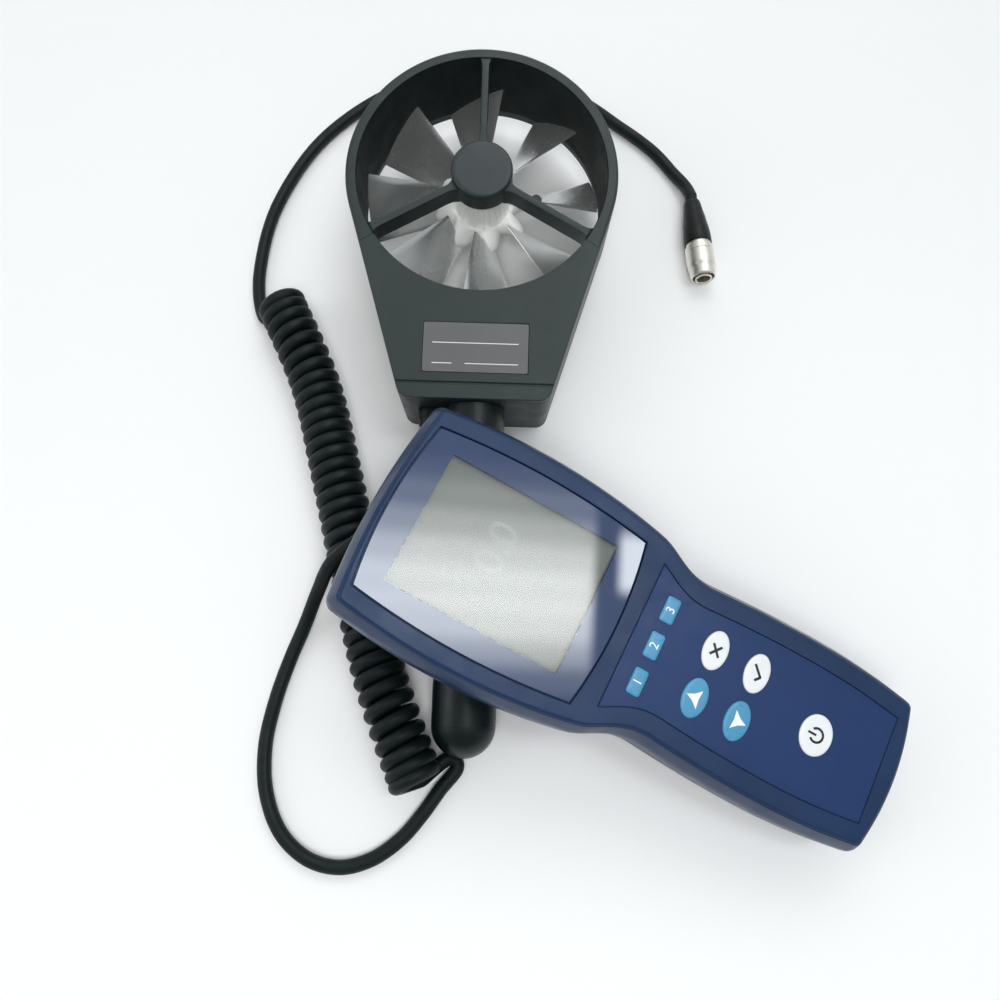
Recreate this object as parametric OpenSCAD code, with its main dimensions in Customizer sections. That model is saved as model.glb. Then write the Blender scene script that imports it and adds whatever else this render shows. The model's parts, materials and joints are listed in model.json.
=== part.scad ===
// Vane anemometer: a duct-shaped measuring head with a bladed rotor, a straight handle, a coiled lead
// ending in a plug, and a hand-held display unit that rests across the handle.
// Origin: the centre of the duct's rear mouth. +Z is up from the table, and +Y runs from the handle's
// end towards the top of the ring. Head modules are drawn with the duct along Z, display-unit modules
// with X from the screen towards the power key and the face at Z = 0; head_pose(), unit_pose() and
// plug_pose() then set them down on the table. All lengths are in millimetres.

/* [Duct head] */
// Bore of the duct that the air passes through
duct_d = 100; // [98:0.5:102]
// Wall of the duct ring
ring_wall = 4.4; // [4:0.1:5]
// Depth of the head, from its rear face to its front face
head_depth = 40.5; // [39:0.5:44]
// Distance from the duct axis down to the base of the body
base_drop = 93.8; // [92:0.1:98]
// Width of the base
base_w = 59.6; // [56:0.2:64]
// Diameter of the seat that slips over a duct spigot
seat_d = 101.6; // [101.2:0.1:102.4]
// Thickness of the front cover
cover_t = 4; // [3.6:0.2:5]
// Depth of the grille ring
grille_depth = 12; // [11:0.5:12.5]
// Width of a strut's front face
strut_w = 3; // [2.6:0.1:3.4]
// Diameter of the grille's hub
hub_d = 24.6; // [23:0.2:26]
// Depth of the grille's hub
hub_depth = 8.5; // [8.4:0.1:8.6]

/* [Rotor] */
// Number of blades
blade_count = 8; // [6:1:9]
// Diameter across the blade tips
tip_d = 96.4; // [90:0.2:97]
// Thickness of a blade
blade_t = 0.8; // [0.6:0.1:1]
// Angle that a blade turns through from its front edge to its rear edge
blade_sweep = 27.5; // [20:0.5:40]
// Depth of the rotor along the duct
rotor_depth = 18.4; // [16:0.2:18.4]
// Diameter of the disc round the boss of the rotor's hub
rotor_disc_d = 24; // [22:0.5:26]
// Diameter of the flange that the blades are rooted in
rotor_flange_d = 34; // [30:0.5:36]
// Diameter of the rotor's shaft
shaft_d = 3; // [2:0.5:4]

/* [Handle] */
// Diameter of the handle
handle_d = 24; // [22:0.5:25]
// Length of the handle, from the base to the end of its dome
handle_len = 133.4; // [125:0.2:140]
// Height of the handle's axis above the head's rear face
neck_h = 26; // [25:0.5:26.5]

/* [Lead] */
// Diameter of the lead
wire_d = 5.5; // [5:0.1:5.6]
// Outer diameter of the coil
coil_d = 21; // [20:0.5:21.5]
// Number of turns in the coil
coil_turns = 37; // [32:1:38]
// Diameter of the plug's barrel
plug_d = 12.4; // [12:0.1:13]

/* [Display unit] */
// Thickness of the case
case_t = 33; // [32:0.5:33]
// Half width of the case at the screen
screen_half_w = 43.3; // [42:0.1:45]
// Half width of the case at the keys
keys_half_w = 32.5; // [32:0.1:34]
// Distance from the screen's centre to the top end
top_reach = 48.8; // [47:0.1:50]
// Distance from the screen's centre to the lower end
low_reach = 158; // [154:0.5:160]
// Length of the visible screen
lcd_w = 48.6; // [46:0.2:49]
// Height of the visible screen, along the case
lcd_h = 64.6; // [62:0.2:66]
// How far a key travels
key_travel = 0.8; // [0.5:0.1:0.9]
// Slope of the case, which rests on the handle and on the table
unit_pitch = 11.3; // [11.2:0.1:11.6]
// Direction in which the case points, from +X
unit_yaw = -25.5; // [-27:0.5:-24]

/* [Hidden] */
$fn = 96;
eps = 0.01;
slack = 0.05;

// Duct head
duct_r = duct_d / 2;
ring_r = duct_r + ring_wall;
seat_len = 5;
seam_angle = 33.5;
corner_r = 5;
tangent_lap = 0.08;
corner_x = base_w / 2 - corner_r;
corner_y = corner_r - base_drop;
skin = 3;
cover_z = head_depth - cover_t;
grille_z = head_depth - grille_depth;
hub_z = head_depth - hub_depth;
strut_angles = [90, -30, 210];
strut_depth = 10;
strut_flare = 1.6;
cap_h = 2.3;
screw_r = 1.5;
screw_head_r = 2.8;
post_r = 4;
board_post = [14, 2.5, 8];
head_screw_at = [[24, -84], [-24, -84], [34, -56.5], [-34, -56.5]];
label_size = [40.6, 20];
label_y = -73.5;
label_sink = 0.8;
groove_y = 5.6 - base_drop;

// Rotor
rotor_z = seat_len + 0.6;
rotor_front = rotor_z + rotor_depth;
rotor_rest = 5.2;
blade_edge = 0.8;
disc_r = rotor_disc_d / 2;
flange_r = rotor_flange_d / 2;
disc_depth = 8.9;
boss_r = [9, 6];
blade_root = 1.5;
shaft_r = shaft_d / 2;
bearing_r = 4;
bearing_w = 3;
bearing_z = [hub_z + 0.3, hub_z + 3.8];
clip_t = 0.5;
pickup_r = 1.5;
pickup_wall = 0.7;
pickup_at = [24.5, 1.3];

// Handle
handle_r = handle_d / 2;
dome_drop = base_drop + handle_len - handle_r;
bolt_r = 3;
tube_r = 9;
boot_x = -17.2;
boot_h = 22;
boot_len = 22;

// The head lies on the rear edge of its base and on the handle's dome
dome_run = dome_drop - base_drop;
head_tilt = atan2(neck_h, dome_run) - asin(handle_r / norm([dome_run, neck_h]));
table_z = -base_drop * sin(head_tilt);

// Lead
wire_r = wire_d / 2;
helix_r = coil_d / 2 - wire_r;
coil_z = table_z + coil_d / 2 + slack;
lead_z = table_z + wire_r + slack;
steps_per_turn = 13;
wire_sides = 8;

// Plug: distances along its axis from the start of its boot
plug_r = plug_d / 2;
plug_at = [93.4, 15.2, table_z + plug_r + slack];
plug_turn = 6;
clamp_z = 12;
slide_z = 18.9;
sleeve_z = 20.5;
skirt_z = 22;
shoulder_z = 23.6;
socket_gap_z = 30;
nose_z = 39;
nose_r = 3.7;
core_r = 3;
core_z = 24;
insert_len = 11;
pin_r = 0.44;
pin_ring_r = 1.6;
slide_r = 4.6;

// Display unit
parting_z = -15;
face_skin = 3;
wall_t = 2.5;
unit_at = [13.2, -166, table_z + case_t * cos(unit_pitch) + (low_reach - 2.9) * sin(unit_pitch)];
lens_half = [40.4, 30.4];
lens_bow = 3;
lens_t = 1.6;
overlay_t = 0.6;
overlay_start = 49.5;
overlay_end = 148;
overlay_inset = 10.4;
board_z = -6;
board_t = 1.6;
display_lip = 3;
display_t = 2.9;
socket_z = -22;
socket_seat_x = 2 - top_reach;
socket_flange_r = 6.4;
socket_body_r = 5.5;
socket_flange_t = 1.6;
socket_len = 14;
socket_boss = [9, 5];
socket_bore_r = 3.8;
socket_bore_depth = 9;
door_start = 76;
door_half_w = 22;
door_t = 1.7;
cell_r = 7.1;
cell_len = 50.5;
cell_at = [-14.6, 0, 14.6];
cell_start = 82;
case_screw_at = [[-36, 31], [-36, -31], [56, 25], [56, -25]];
soft_key_x = 58;
soft_key_y = 13.5;
round_key_x = [78.2, 94.8];
round_key_y = 8.9;
power_key_x = 122.5;
soft_key_size = [5.2, 9.4];
round_key_size = [4.6, 7.1];
power_key_size = [6.1, 7.3];
key_gap = 0.15;
key_rise = 0.8;
key_foot_z = -face_skin - 0.1;
key_foot_t = 1;
key_foot_lip = 0.9;
case_post_r = [3.2, 3.6];
case_screw_head = [2.7, 3];

// ---------------------------------------------------------------- placing

module head_pose() { rotate([head_tilt, 0, 0]) children(); }
module unit_pose() { translate(unit_at) rotate([0, unit_pitch, unit_yaw]) children(); }
module plug_pose() { translate(plug_at) rotate([90, 0, plug_turn]) children(); }

function head_point(p) =
  [p[0], p[1] * cos(head_tilt) - p[2] * sin(head_tilt), p[1] * sin(head_tilt) + p[2] * cos(head_tilt)];
function plug_point(d) = plug_at + d * [sin(plug_turn), -cos(plug_turn), 0];

// ---------------------------------------------------------------- curves and skins

function unit(v) = v / norm(v);
function blend(t) = t <= 0 ? 0 : t >= 1 ? 1 : t * t * (3 - 2 * t);

// A smooth curve through the points p, n steps from each point to the next
function through(p, n) = [
  for (i = [0 : len(p) - 2], k = [0 : n - 1])
    let (a = p[max(i - 1, 0)], b = p[i], c = p[i + 1], d = p[min(i + 2, len(p) - 1)], t = k / n)
      b + (c - a) * t / 2 + (2 * a - 5 * b + 4 * c - d) * t * t / 2
        + (3 * b - a - 3 * c + d) * t * t * t / 2,
  p[len(p) - 1]];

// A closed skin over rings of points, each ring with the same number of points
module skin_over(rings) {
  n = len(rings[0]);
  last = (len(rings) - 1) * n;
  polyhedron(
    points = [for (ring = rings) each ring],
    faces = [
      for (k = [0 : n / 2 - 2]) each [[k, k + 1, n - 1 - k], [k + 1, n - 2 - k, n - 1 - k]],
      for (row = [0 : n : last - n], k = [0 : n - 1])
        let (a = row + k, b = row + (k + 1) % n) each [[b, a, a + n], [b, a + n, b + n]],
      for (k = [0 : n / 2 - 2]) each [
        [last + k + 1, last + k, last + n - 1 - k], [last + k + 1, last + n - 1 - k, last + n - 2 - k]]],
    convexity = 10);
}

module ring(r_out, r_in, h) {
  difference() {
    cylinder(r = r_out, h = h);
    translate([0, 0, -1]) cylinder(r = r_in, h = h + 2);
  }
}

// ---------------------------------------------------------------- duct head

// The head's outline: the ring, running tangent into the tapered body with its rounded corners
module head_outline(inset = 0) {
  big = ring_r - inset;
  small = corner_r - inset;
  lean = atan2(corner_y, corner_x) + acos((big - small) / norm([corner_x, corner_y]));
  side = [cos(lean), sin(lean)];
  half = [[corner_x, corner_y - small], [corner_x, corner_y] + small * side, (big - tangent_lap) * side];
  circle(r = big, $fn = 180);
  polygon([each half, for (k = [2 : -1 : 0]) [-half[k][0], half[k][1]]]);
  for (s = [-1, 1]) translate([s * corner_x, corner_y]) circle(r = small, $fn = 48);
}

// Everything above the two radial seams between the grille ring and the front cover
module above_seams() {
  far = 3 * ring_r;
  polygon([[0, 0], far * [cos(seam_angle), -sin(seam_angle)], [far, far], [-far, far],
    far * [-cos(seam_angle), -sin(seam_angle)]]);
}

module at_head_screws() { for (p = head_screw_at) translate([p[0], p[1], 0]) children(); }

module body_pocket() {
  difference() {
    translate([0, 0, skin]) linear_extrude(head_depth) head_outline(skin);
    cylinder(r = ring_r, h = 2 * head_depth, $fn = 180);
    at_head_screws() cylinder(r = post_r, h = head_depth);
    for (s = [-1, 1]) translate([s * board_post[0], label_y])
      cylinder(r = board_post[1], h = board_post[2]);
  }
}

module through_base(x, z) { translate([x, 1 - base_drop + skin, z]) rotate([90, 0, 0]) children(); }

module rear_housing() color("#3a4243") head_pose() difference() {
  linear_extrude(cover_z) head_outline();
  translate([0, 0, -1]) cylinder(r = duct_r, h = head_depth, $fn = 180);
  translate([0, 0, -1]) cylinder(d = seat_d, h = seat_len + 1, $fn = 180);
  translate([0, 0, grille_z]) linear_extrude(head_depth) above_seams();
  body_pocket();
  at_head_screws() {
    translate([0, 0, -1]) cylinder(r = screw_r + 0.1, h = head_depth);
    translate([0, 0, -1]) cylinder(r = screw_head_r + 0.4, h = 3.2);
  }
  through_base(0, neck_h) cylinder(r = bolt_r + slack, h = 2 * skin);
  through_base(boot_x, boot_h) cylinder(r = wire_r + 0.3, h = 2 * skin);
}

module front_cover() color("#3a4243") head_pose() difference() {
  translate([0, 0, cover_z]) linear_extrude(cover_t) head_outline();
  cylinder(r = duct_r, h = 2 * head_depth, $fn = 180);
  linear_extrude(2 * head_depth) above_seams();
  translate([-base_w, groove_y, head_depth - 0.7]) cube([2 * base_w, 1, 2]);
  translate([-label_size[0] / 2, label_y - label_size[1] / 2, head_depth - label_sink])
    cube([each label_size, 2]);
  at_head_screws() translate([0, 0, cover_z - 1]) cylinder(r = screw_r, h = 3.4);
}

module label_plate() color("#8a8f90") head_pose() {
  size = label_size - [0.2, 0.2];
  translate([0, label_y, head_depth - label_sink]) linear_extrude(label_sink + 0.1)
    square(size, center = true);
}

module strut(angle) {
  reach = duct_r + 1;
  half = strut_w / 2;
  rotate([0, 0, angle]) translate([0, 0, head_depth - strut_depth]) linear_extrude(strut_depth)
    polygon([
      [0, half + strut_flare], [hub_d / 2, half + strut_flare / 2], [hub_d / 2 + strut_flare, half],
      [duct_r - strut_flare, half], [reach, half + strut_flare / 2],
      [reach, -half - strut_flare / 2], [duct_r - strut_flare, -half],
      [hub_d / 2 + strut_flare, -half], [hub_d / 2, -half - strut_flare / 2], [0, -half - strut_flare]]);
}

module at_pickup() { rotate([0, 0, strut_angles[1]]) translate(pickup_at) children(); }

module ring_grille() color("#3a4243") head_pose() difference() {
  union() {
    translate([0, 0, grille_z]) linear_extrude(grille_depth) difference() {
      intersection() {
        head_outline();
        above_seams();
      }
      circle(r = duct_r, $fn = 180);
    }
    intersection() {
      union() {
        for (angle = strut_angles) strut(angle);
        at_pickup() translate([0, 0, head_depth - strut_depth])
          cylinder(r = pickup_r + pickup_wall, h = strut_depth);
      }
      cylinder(r = duct_r + 1, h = head_depth);
    }
    translate([0, 0, hub_z]) cylinder(d = hub_d, h = hub_depth);
  }
  translate([0, 0, grille_z - 1]) cylinder(r = bearing_r, h = grille_depth + 2);
  at_pickup() translate([0, 0, grille_z]) cylinder(r = pickup_r, h = head_depth);
}

module hub_cap() color("#343b3c") head_pose() translate([0, 0, head_depth]) {
  rotate_extrude() polygon([
    [0, 0], [hub_d / 2, 0], [hub_d / 2, cap_h - 0.8], [hub_d / 2 - 1, cap_h], [0, cap_h]]);
  translate([0, 0, -0.6]) cylinder(r = bearing_r - slack, h = 1);
}

module shaft_bearings() color("#b8bcc0") head_pose()
  for (z = bearing_z) translate([0, 0, z]) ring(bearing_r - 0.01, shaft_r + 0.03, bearing_w);

module bearing_spacer() color("#8c8f92") head_pose()
  translate([0, 0, bearing_z[0] + bearing_w])
    ring(bearing_r - slack, bearing_r - 0.8, bearing_z[1] - bearing_z[0] - bearing_w);

module pickup_sensor() color("#1c1f20") head_pose() at_pickup()
  translate([0, 0, head_depth - strut_depth]) cylinder(r = pickup_r - 0.02, h = strut_depth - 0.2);

module sensor_board() color("#1f6b43") head_pose()
  translate([0, label_y, board_post[2]]) linear_extrude(board_t) square([40, 18], center = true);

module head_screws() color("#9a9da0") head_pose() at_head_screws() {
  cylinder(r = screw_head_r, h = 2.2);
  cylinder(r = screw_r - slack, h = cover_z + 2);
}

// ---------------------------------------------------------------- rotor

rotor_bore_r = shaft_r + 0.01;

module rotor_hub() color("#dcdcd6") head_pose() translate([0, 0, rotor_z]) rotate_extrude() polygon([
  [rotor_bore_r, 0], [flange_r - 3, 0], [flange_r, 3], [flange_r, disc_depth - 3],
  [disc_r + 0.5, disc_depth], [boss_r[0], disc_depth], [boss_r[1], rotor_depth],
  [rotor_bore_r, rotor_depth]]);

// A cut through a blade at the radius r: a thin helical strip from its rear edge to its front edge
function blade_cut(r) = let (n = 8, lead = atan2(2 * PI * r * blade_sweep / 360, rotor_depth)) [
  for (face = [-1, 1], k = [0 : n]) let (
      s = face > 0 ? 1 - k / n : k / n,
      turn = blade_sweep * (s - 0.5),
      across = face * blade_t / 2)
    [r * sin(turn) + across * cos(lead), r * cos(turn),
      blade_edge + s * (rotor_depth - 2 * blade_edge) - across * sin(lead)]];

module rotor_blades() color("#d5d9dc") head_pose() translate([0, 0, rotor_z])
  for (i = [0 : blade_count - 1]) rotate([0, 0, rotor_rest + i * 360 / blade_count])
    skin_over([for (r = [flange_r - blade_root, 20, 30, 39, tip_d / 2]) blade_cut(r)]);

module rotor_shaft() color("#a9adb0") head_pose()
  translate([0, 0, rotor_z - 0.3]) cylinder(r = shaft_r, h = head_depth - rotor_z - 0.8);

module shaft_collar() color("#8c8f92") head_pose() translate([0, 0, rotor_front + 0.1])
  ring(shaft_r + 0.8, shaft_r + 0.01, bearing_z[0] - rotor_front - 0.2);

module shaft_clip() color("#6d7072") head_pose()
  translate([0, 0, bearing_z[1] + bearing_w + 0.1]) ring(shaft_r + 1, shaft_r + 0.01, clip_t);

// ---------------------------------------------------------------- handle

module along_handle(y) { translate([0, y, neck_h]) rotate([90, 0, 0]) children(); }

module handle_grip() color("#1b1d1e") head_pose() difference() {
  along_handle(-base_drop) cylinder(r = handle_r, h = dome_run);
  along_handle(1 - base_drop) cylinder(r = bolt_r + slack, h = 30);
  along_handle(-base_drop - 24) cylinder(r = tube_r, h = dome_run);
}

module handle_dome() color("#1b1d1e") head_pose() along_handle(-dome_drop) {
  rotate_extrude() intersection() {
    circle(r = handle_r);
    square(handle_r);
  }
  translate([0, 0, -8]) cylinder(r = tube_r - slack, h = 9);
}

module handle_bolt() color("#9a9da0") head_pose() {
  along_handle(skin - base_drop) cylinder(r = bolt_r, h = 20);
  along_handle(skin + 4 - base_drop) cylinder(r = 5, h = 4, $fn = 6);
}

module cable_boot() color("#17191a") head_pose() translate([boot_x, -base_drop, boot_h]) rotate([90, 0, 0])
  rotate_extrude() polygon([
    [wire_r + slack, 0], [5.3, 0], [5.3, 4], [4.8, 5], [wire_r + 0.9, boot_len],
    [wire_r + slack, boot_len]]);

// ---------------------------------------------------------------- lead

// The coil's axis on the table, from its lower end to its upper end
coil_axis = [[-16.5, -237.3], [-32.3, -199.6], [-44, -160], [-55, -120], [-67, -81], [-85, -44]];
coil_steps = coil_turns * steps_per_turn;
coil_fine = through(coil_axis, 40);

function coil_centre(s) =
  let (x = s * (len(coil_fine) - 1), i = min(floor(x), len(coil_fine) - 2))
    coil_fine[i] + (coil_fine[i + 1] - coil_fine[i]) * (x - i);
function coil_way(s) = unit(coil_centre(min(s + 0.01, 1)) - coil_centre(max(s - 0.01, 0)));
function coil_left(s) = let (way = coil_way(s)) [-way[1], way[0], 0];

// Stations along the lead are pairs: a point, and the side of the lead that faces out of the coil
coil_stations = [for (i = [0 : coil_steps]) let (
    s = i / coil_steps, turn = 360 * i / steps_per_turn, c = coil_centre(s),
    out = sin(turn) * coil_left(s) - cos(turn) * [0, 0, 1])
  [[c[0], c[1], coil_z] + helix_r * out, out]];

function on_table(p) = [p[0], p[1], lead_z];
function above_table(p) = [p[0], p[1], table_z + p[2]];
down = [0, 0, -1];

// From inside the head, out through the boot, over the coil, round on the table and into its lower end
lower_run = through([
  for (d = [-6, boot_len, boot_len + 4]) head_point([boot_x, -base_drop - d, boot_h]),
  for (p = [[-22, -131.5, 22.5], [-31.5, -141.5, 25], [-43, -151, 25.2], [-52.3, -159.2, 21.8],
    [-58.2, -168.3, 12.2], [-63.5, -180.3, 5]]) above_table(p),
  for (p = [[-68.6, -193.7], [-75, -226], [-66, -256], [-44, -268], [-22, -258], [-8.8, -240],
    [-2, -232], [-5.4, -228.6]]) on_table(p),
  coil_stations[0][0] - 1.5 * coil_left(0)], 5);

// From the coil's upper end, round behind the ring and into the plug
upper_run = through([
  coil_stations[coil_steps][0] + 1.5 * coil_left(1),
  for (p = [[-94, -46.5], [-98, -24], [-93, 11], [-74, 48], [-40, 76], [0, 85], [38, 74], [62, 57],
    [76.5, 44.8], [85.5, 33.5]]) on_table(p),
  [90.9, 25.2, lead_z + 1.6], plug_point(-3.5), plug_point(-0.5), plug_point(20)], 6);

function kept_up(p) = [p[0], p[1], max(p[2], lead_z)];

// The lead's section has a corner underneath on the runs, and a flat between two corners in the coil
stations = [
  for (p = lower_run) [kept_up(p), down, 0],
  for (i = [1 : coil_steps - 1]) [each coil_stations[i], 0.5],
  for (p = upper_run) [kept_up(p), down, 0]];

function wire_ring(i) = let (
    way = unit(stations[min(i + 1, len(stations) - 1)][0] - stations[max(i - 1, 0)][0]),
    out = unit(stations[i][1] - (stations[i][1] * way) * way), side = cross(way, out))
  [for (k = [0 : wire_sides - 1]) let (a = 360 * (k + stations[i][2]) / wire_sides)
    stations[i][0] + wire_r * (cos(a) * out + sin(a) * side)];

module coiled_cable() color("#141617") skin_over([for (i = [0 : len(stations) - 1]) wire_ring(i)]);

module plug_boot() color("#141617") plug_pose() rotate_extrude() polygon([
  [wire_r + slack, 0], [wire_r + 0.7, 0], [wire_r + 1.1, 1], [plug_r - 0.9, 12], [plug_r - 0.2, 18],
  [plug_r - 0.2, skirt_z], [5.6, skirt_z], [5.6, slide_z], [5.25, slide_z], [5.25, clamp_z],
  [wire_r + slack, clamp_z]]);

module plug_body() color("#c9c6bc") plug_pose() rotate_extrude() polygon([
  [wire_r + slack, clamp_z], [5.2, clamp_z], [5.2, slide_z], [slide_r, slide_z],
  [slide_r, socket_gap_z], [nose_r, socket_gap_z], [nose_r, nose_z], [core_r, nose_z],
  [core_r, core_z], [wire_r + slack, core_z]]);

module at_pins() { for (a = [45 : 90 : 315]) rotate([0, 0, a]) translate([pin_ring_r, 0, 0]) children(); }

module plug_insert() color("#20211f") plug_pose() translate([0, 0, core_z]) difference() {
  cylinder(r = core_r - 0.01, h = insert_len);
  at_pins() translate([0, 0, -1]) cylinder(r = pin_r + 0.01, h = insert_len + 2, $fn = 24);
}

module plug_pins() color("#d8b65a") plug_pose() translate([0, 0, core_z])
  at_pins() cylinder(r = pin_r, h = insert_len + 2, $fn = 24);

module plug_sleeve() color("#c9c6bc") plug_pose() rotate_extrude() polygon([
  [slide_r + slack, sleeve_z], [5.5, sleeve_z], [5.5, shoulder_z], [plug_r - 0.3, shoulder_z],
  [plug_r, shoulder_z + 0.4], [plug_r, 33], [plug_r - 0.8, nose_z - 1], [plug_r - 1.1, nose_z - 0.5],
  [slide_r + slack, nose_z - 0.5]]);

// ---------------------------------------------------------------- display unit

// Half width of the case at x: a wide arc at the screen, easing through the waist into the key end
function half_width(x) = let (
    screen = screen_half_w - pow(x + 2, 2) / 470,
    far = x - 112,
    keys = keys_half_w - far * far / (far < 0 ? 1000 : 470))
  screen + (keys - screen) * blend((x - 46) / 26);

top_bow = 2.6;
low_bow = 3;
function top_end(y) = top_bow * pow(y / screen_half_w, 2) - top_reach;
function low_end(y) = low_reach - low_bow * pow(y / keys_half_w, 2);

// Points round the case, drawn in by inset: two sides, two bowed ends and a round corner between each
side_steps = 26;
end_steps = 6;
corner_steps = 4;
case_corner = 4;
function corner_at(x, y, start) = [for (k = [1 : corner_steps - 1])
  let (a = start + 90 * k / corner_steps) [x + case_corner * cos(a), y + case_corner * sin(a)]];
function outline(inset) = let (
    x0 = top_end(screen_half_w) + inset + case_corner,
    x1 = low_end(keys_half_w) - inset - case_corner,
    y0 = half_width(x0) - inset - case_corner,
    y1 = half_width(x1) - inset - case_corner,
    along = [for (k = [0 : side_steps]) x0 + (x1 - x0) * k / side_steps],
    across = [for (k = [0 : end_steps]) 2 * k / end_steps - 1])
  concat(
    [for (x = along) [x, inset - half_width(x)]],
    corner_at(x1, -y1, -90),
    [for (s = across)
      [low_end(y1 * s) + (x1 + case_corner - low_end(y1)) * s * s - inset * (1 - s * s), y1 * s]],
    corner_at(x1, y1, 0),
    [for (k = [side_steps : -1 : 0]) [along[k], half_width(along[k]) - inset]],
    corner_at(x0, y0, 90),
    [for (s = across)
      [top_end(y0 * s) + (x0 - case_corner - top_end(y0)) * s * s + inset * (1 - s * s), -y0 * s]],
    corner_at(x0, -y0, 180));
function outline_at(z, inset) = [for (p = outline(inset)) [p[0], p[1], z]];

// Each skin of the case is a list of levels from the rear forward: a height, and the inset there
front_skin = [[parting_z, 0], [-9, 0], [-5, 1], [-2, 2.4], [-1, 2.9], [0, 4.2]];
front_hollow = [[parting_z, wall_t], [-9, wall_t], [-face_skin, 9]];
back_skin = [[-case_t, 5.5], [3 - case_t, 3], [8 - case_t, 1], [parting_z, 0]];
back_hollow = [[wall_t - case_t, 6.5], [9 - case_t, 3.5], [parting_z, wall_t]];
module case_skin(levels) { skin_over([for (p = levels) outline_at(p[0], p[1])]); }

// The lens is a little bowed on every side
function bowed(x, y, bow, n = 8) = concat(
  [for (k = [-n : n - 1]) [x + bow * (1 - pow(k / n, 2)), y * k / n]],
  [for (k = [n : -1 : 1 - n]) [x * k / n, y + bow * (1 - pow(k / n, 2))]],
  [for (k = [n : -1 : 1 - n]) [-x - bow * (1 - pow(k / n, 2)), y * k / n]],
  [for (k = [-n : n - 1]) [x * k / n, -y - bow * (1 - pow(k / n, 2))]]);
module lens_outline(grow = 0) { polygon(bowed(lens_half[0] + grow, lens_half[1] + grow, lens_bow)); }

module overlay_outline(grow = 0) {
  n = 24;
  along = [for (k = [0 : n]) overlay_start - grow + (overlay_end - overlay_start + 2 * grow) * k / n];
  polygon(concat(
    [for (x = along) [x, overlay_inset - grow - half_width(x)]],
    [for (k = [n : -1 : 0]) [along[k], half_width(along[k]) - overlay_inset + grow]]));
}

module oval(size, grow) {
  step = 9;
  polygon([for (a = [0 : step : 360 - step]) [(size[0] + grow) * cos(a), (size[1] + grow) * sin(a)]]);
}

module soft_key_outline(grow) {
  r = 1;
  size = soft_key_size / 2 + [grow - r, grow - r];
  for (x = [-1, 1], y = [-1, 1]) translate([x * size[0], y * size[1]]) circle(r = r, $fn = 24);
  square([2 * size[0], 2 * (size[1] + r)], center = true);
  square([2 * (size[0] + r), 2 * size[1]], center = true);
}

module key_holes() {
  for (y = [-1, 0, 1]) translate([soft_key_x, y * soft_key_y]) soft_key_outline(key_gap);
  for (x = round_key_x, y = [-1, 1]) translate([x, y * round_key_y]) oval(round_key_size, key_gap);
  translate([power_key_x, 0]) oval(power_key_size, key_gap);
}

module at_case_screws() { for (p = case_screw_at) translate([p[0], p[1], 0]) children(); }

module case_front() color("#1d3557") unit_pose() difference() {
  union() {
    difference() {
      case_skin(front_skin);
      translate([0, 0, -eps]) case_skin(front_hollow);
    }
    at_case_screws() translate([0, 0, parting_z])
      cylinder(r = case_post_r[0], h = -parting_z - face_skin + 0.5);
  }
  translate([0, 0, -lens_t]) linear_extrude(5) lens_outline();
  translate([0, 0, -5]) linear_extrude(5) square([lcd_h + 4, lcd_w + 4], center = true);
  translate([0, 0, -overlay_t]) linear_extrude(5) overlay_outline();
  translate([0, 0, -5]) linear_extrude(6) key_holes();
  at_case_screws() translate([0, 0, parting_z - 1]) cylinder(r = screw_r, h = 9);
}

module case_back() color("#1d3557") unit_pose() difference() {
  union() {
    difference() {
      case_skin(back_skin);
      translate([0, 0, eps]) case_skin(back_hollow);
    }
    at_case_screws() translate([0, 0, 1 - case_t])
      cylinder(r = case_post_r[1], h = case_t + parting_z - 1);
    intersection() {
      along_socket(-1) cylinder(r = socket_boss[0], h = socket_boss[1] + socket_flange_t + 1);
      case_skin(back_skin);
    }
  }
  at_case_screws() {
    translate([0, 0, -case_t - 1]) cylinder(r = screw_r + 0.1, h = case_t);
    translate([0, 0, -case_t - 1]) cylinder(r = case_screw_head[0] + 0.2, h = 8);
  }
  along_socket(-5) cylinder(r = socket_flange_r + 0.2, h = socket_flange_t + 5);
  along_socket(-5) cylinder(r = socket_body_r + 0.1, h = socket_len);
  translate([door_start, -door_half_w, -case_t - 1]) cube([low_reach, 2 * door_half_w, 1 + door_t + 0.1]);
  translate([door_start + 4, 3 - door_half_w, -case_t]) cube([54, 2 * door_half_w - 6, 5]);
}

module battery_door() color("#1a3050") unit_pose() intersection() {
  translate([door_start + 0.3, 0.25 - door_half_w, -case_t - 1])
    cube([low_reach, 2 * door_half_w - 0.5, 1 + door_t]);
  case_skin(back_skin);
}

module display_lens() color("#8fa0b4") unit_pose()
  translate([0, 0, -lens_t]) linear_extrude(lens_t) lens_outline(-0.1);

module display_module() color("#c3c9c0") unit_pose()
  translate([-lcd_h / 2 - display_lip, -lcd_w / 2 - display_lip, board_z])
    cube([lcd_h + 2 * display_lip, lcd_w + 2 * display_lip, display_t]);

module keypad_overlay() color("#32456f") unit_pose() translate([0, 0, -overlay_t]) linear_extrude(overlay_t)
  difference() {
    overlay_outline(-0.05);
    key_holes();
  }

// Keys: a cap that stands proud of the overlay, on a wider foot that holds it under the case
module key(at, tint) {
  color(tint) unit_pose() translate([at[0], at[1], 0]) {
    translate([0, 0, key_foot_z - 0.1]) linear_extrude(key_rise - key_foot_z + 0.1) children(0);
    translate([0, 0, key_foot_z - key_foot_t]) linear_extrude(key_foot_t) children(1);
  }
}

module soft_key(row) {
  key([soft_key_x, row * soft_key_y], "#5aa2cf") {
    soft_key_outline(0);
    soft_key_outline(key_foot_lip);
  }
}

module oval_key(at, size, tint) {
  key(at, tint) {
    oval(size, 0);
    oval(size, key_foot_lip);
  }
}

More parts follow.
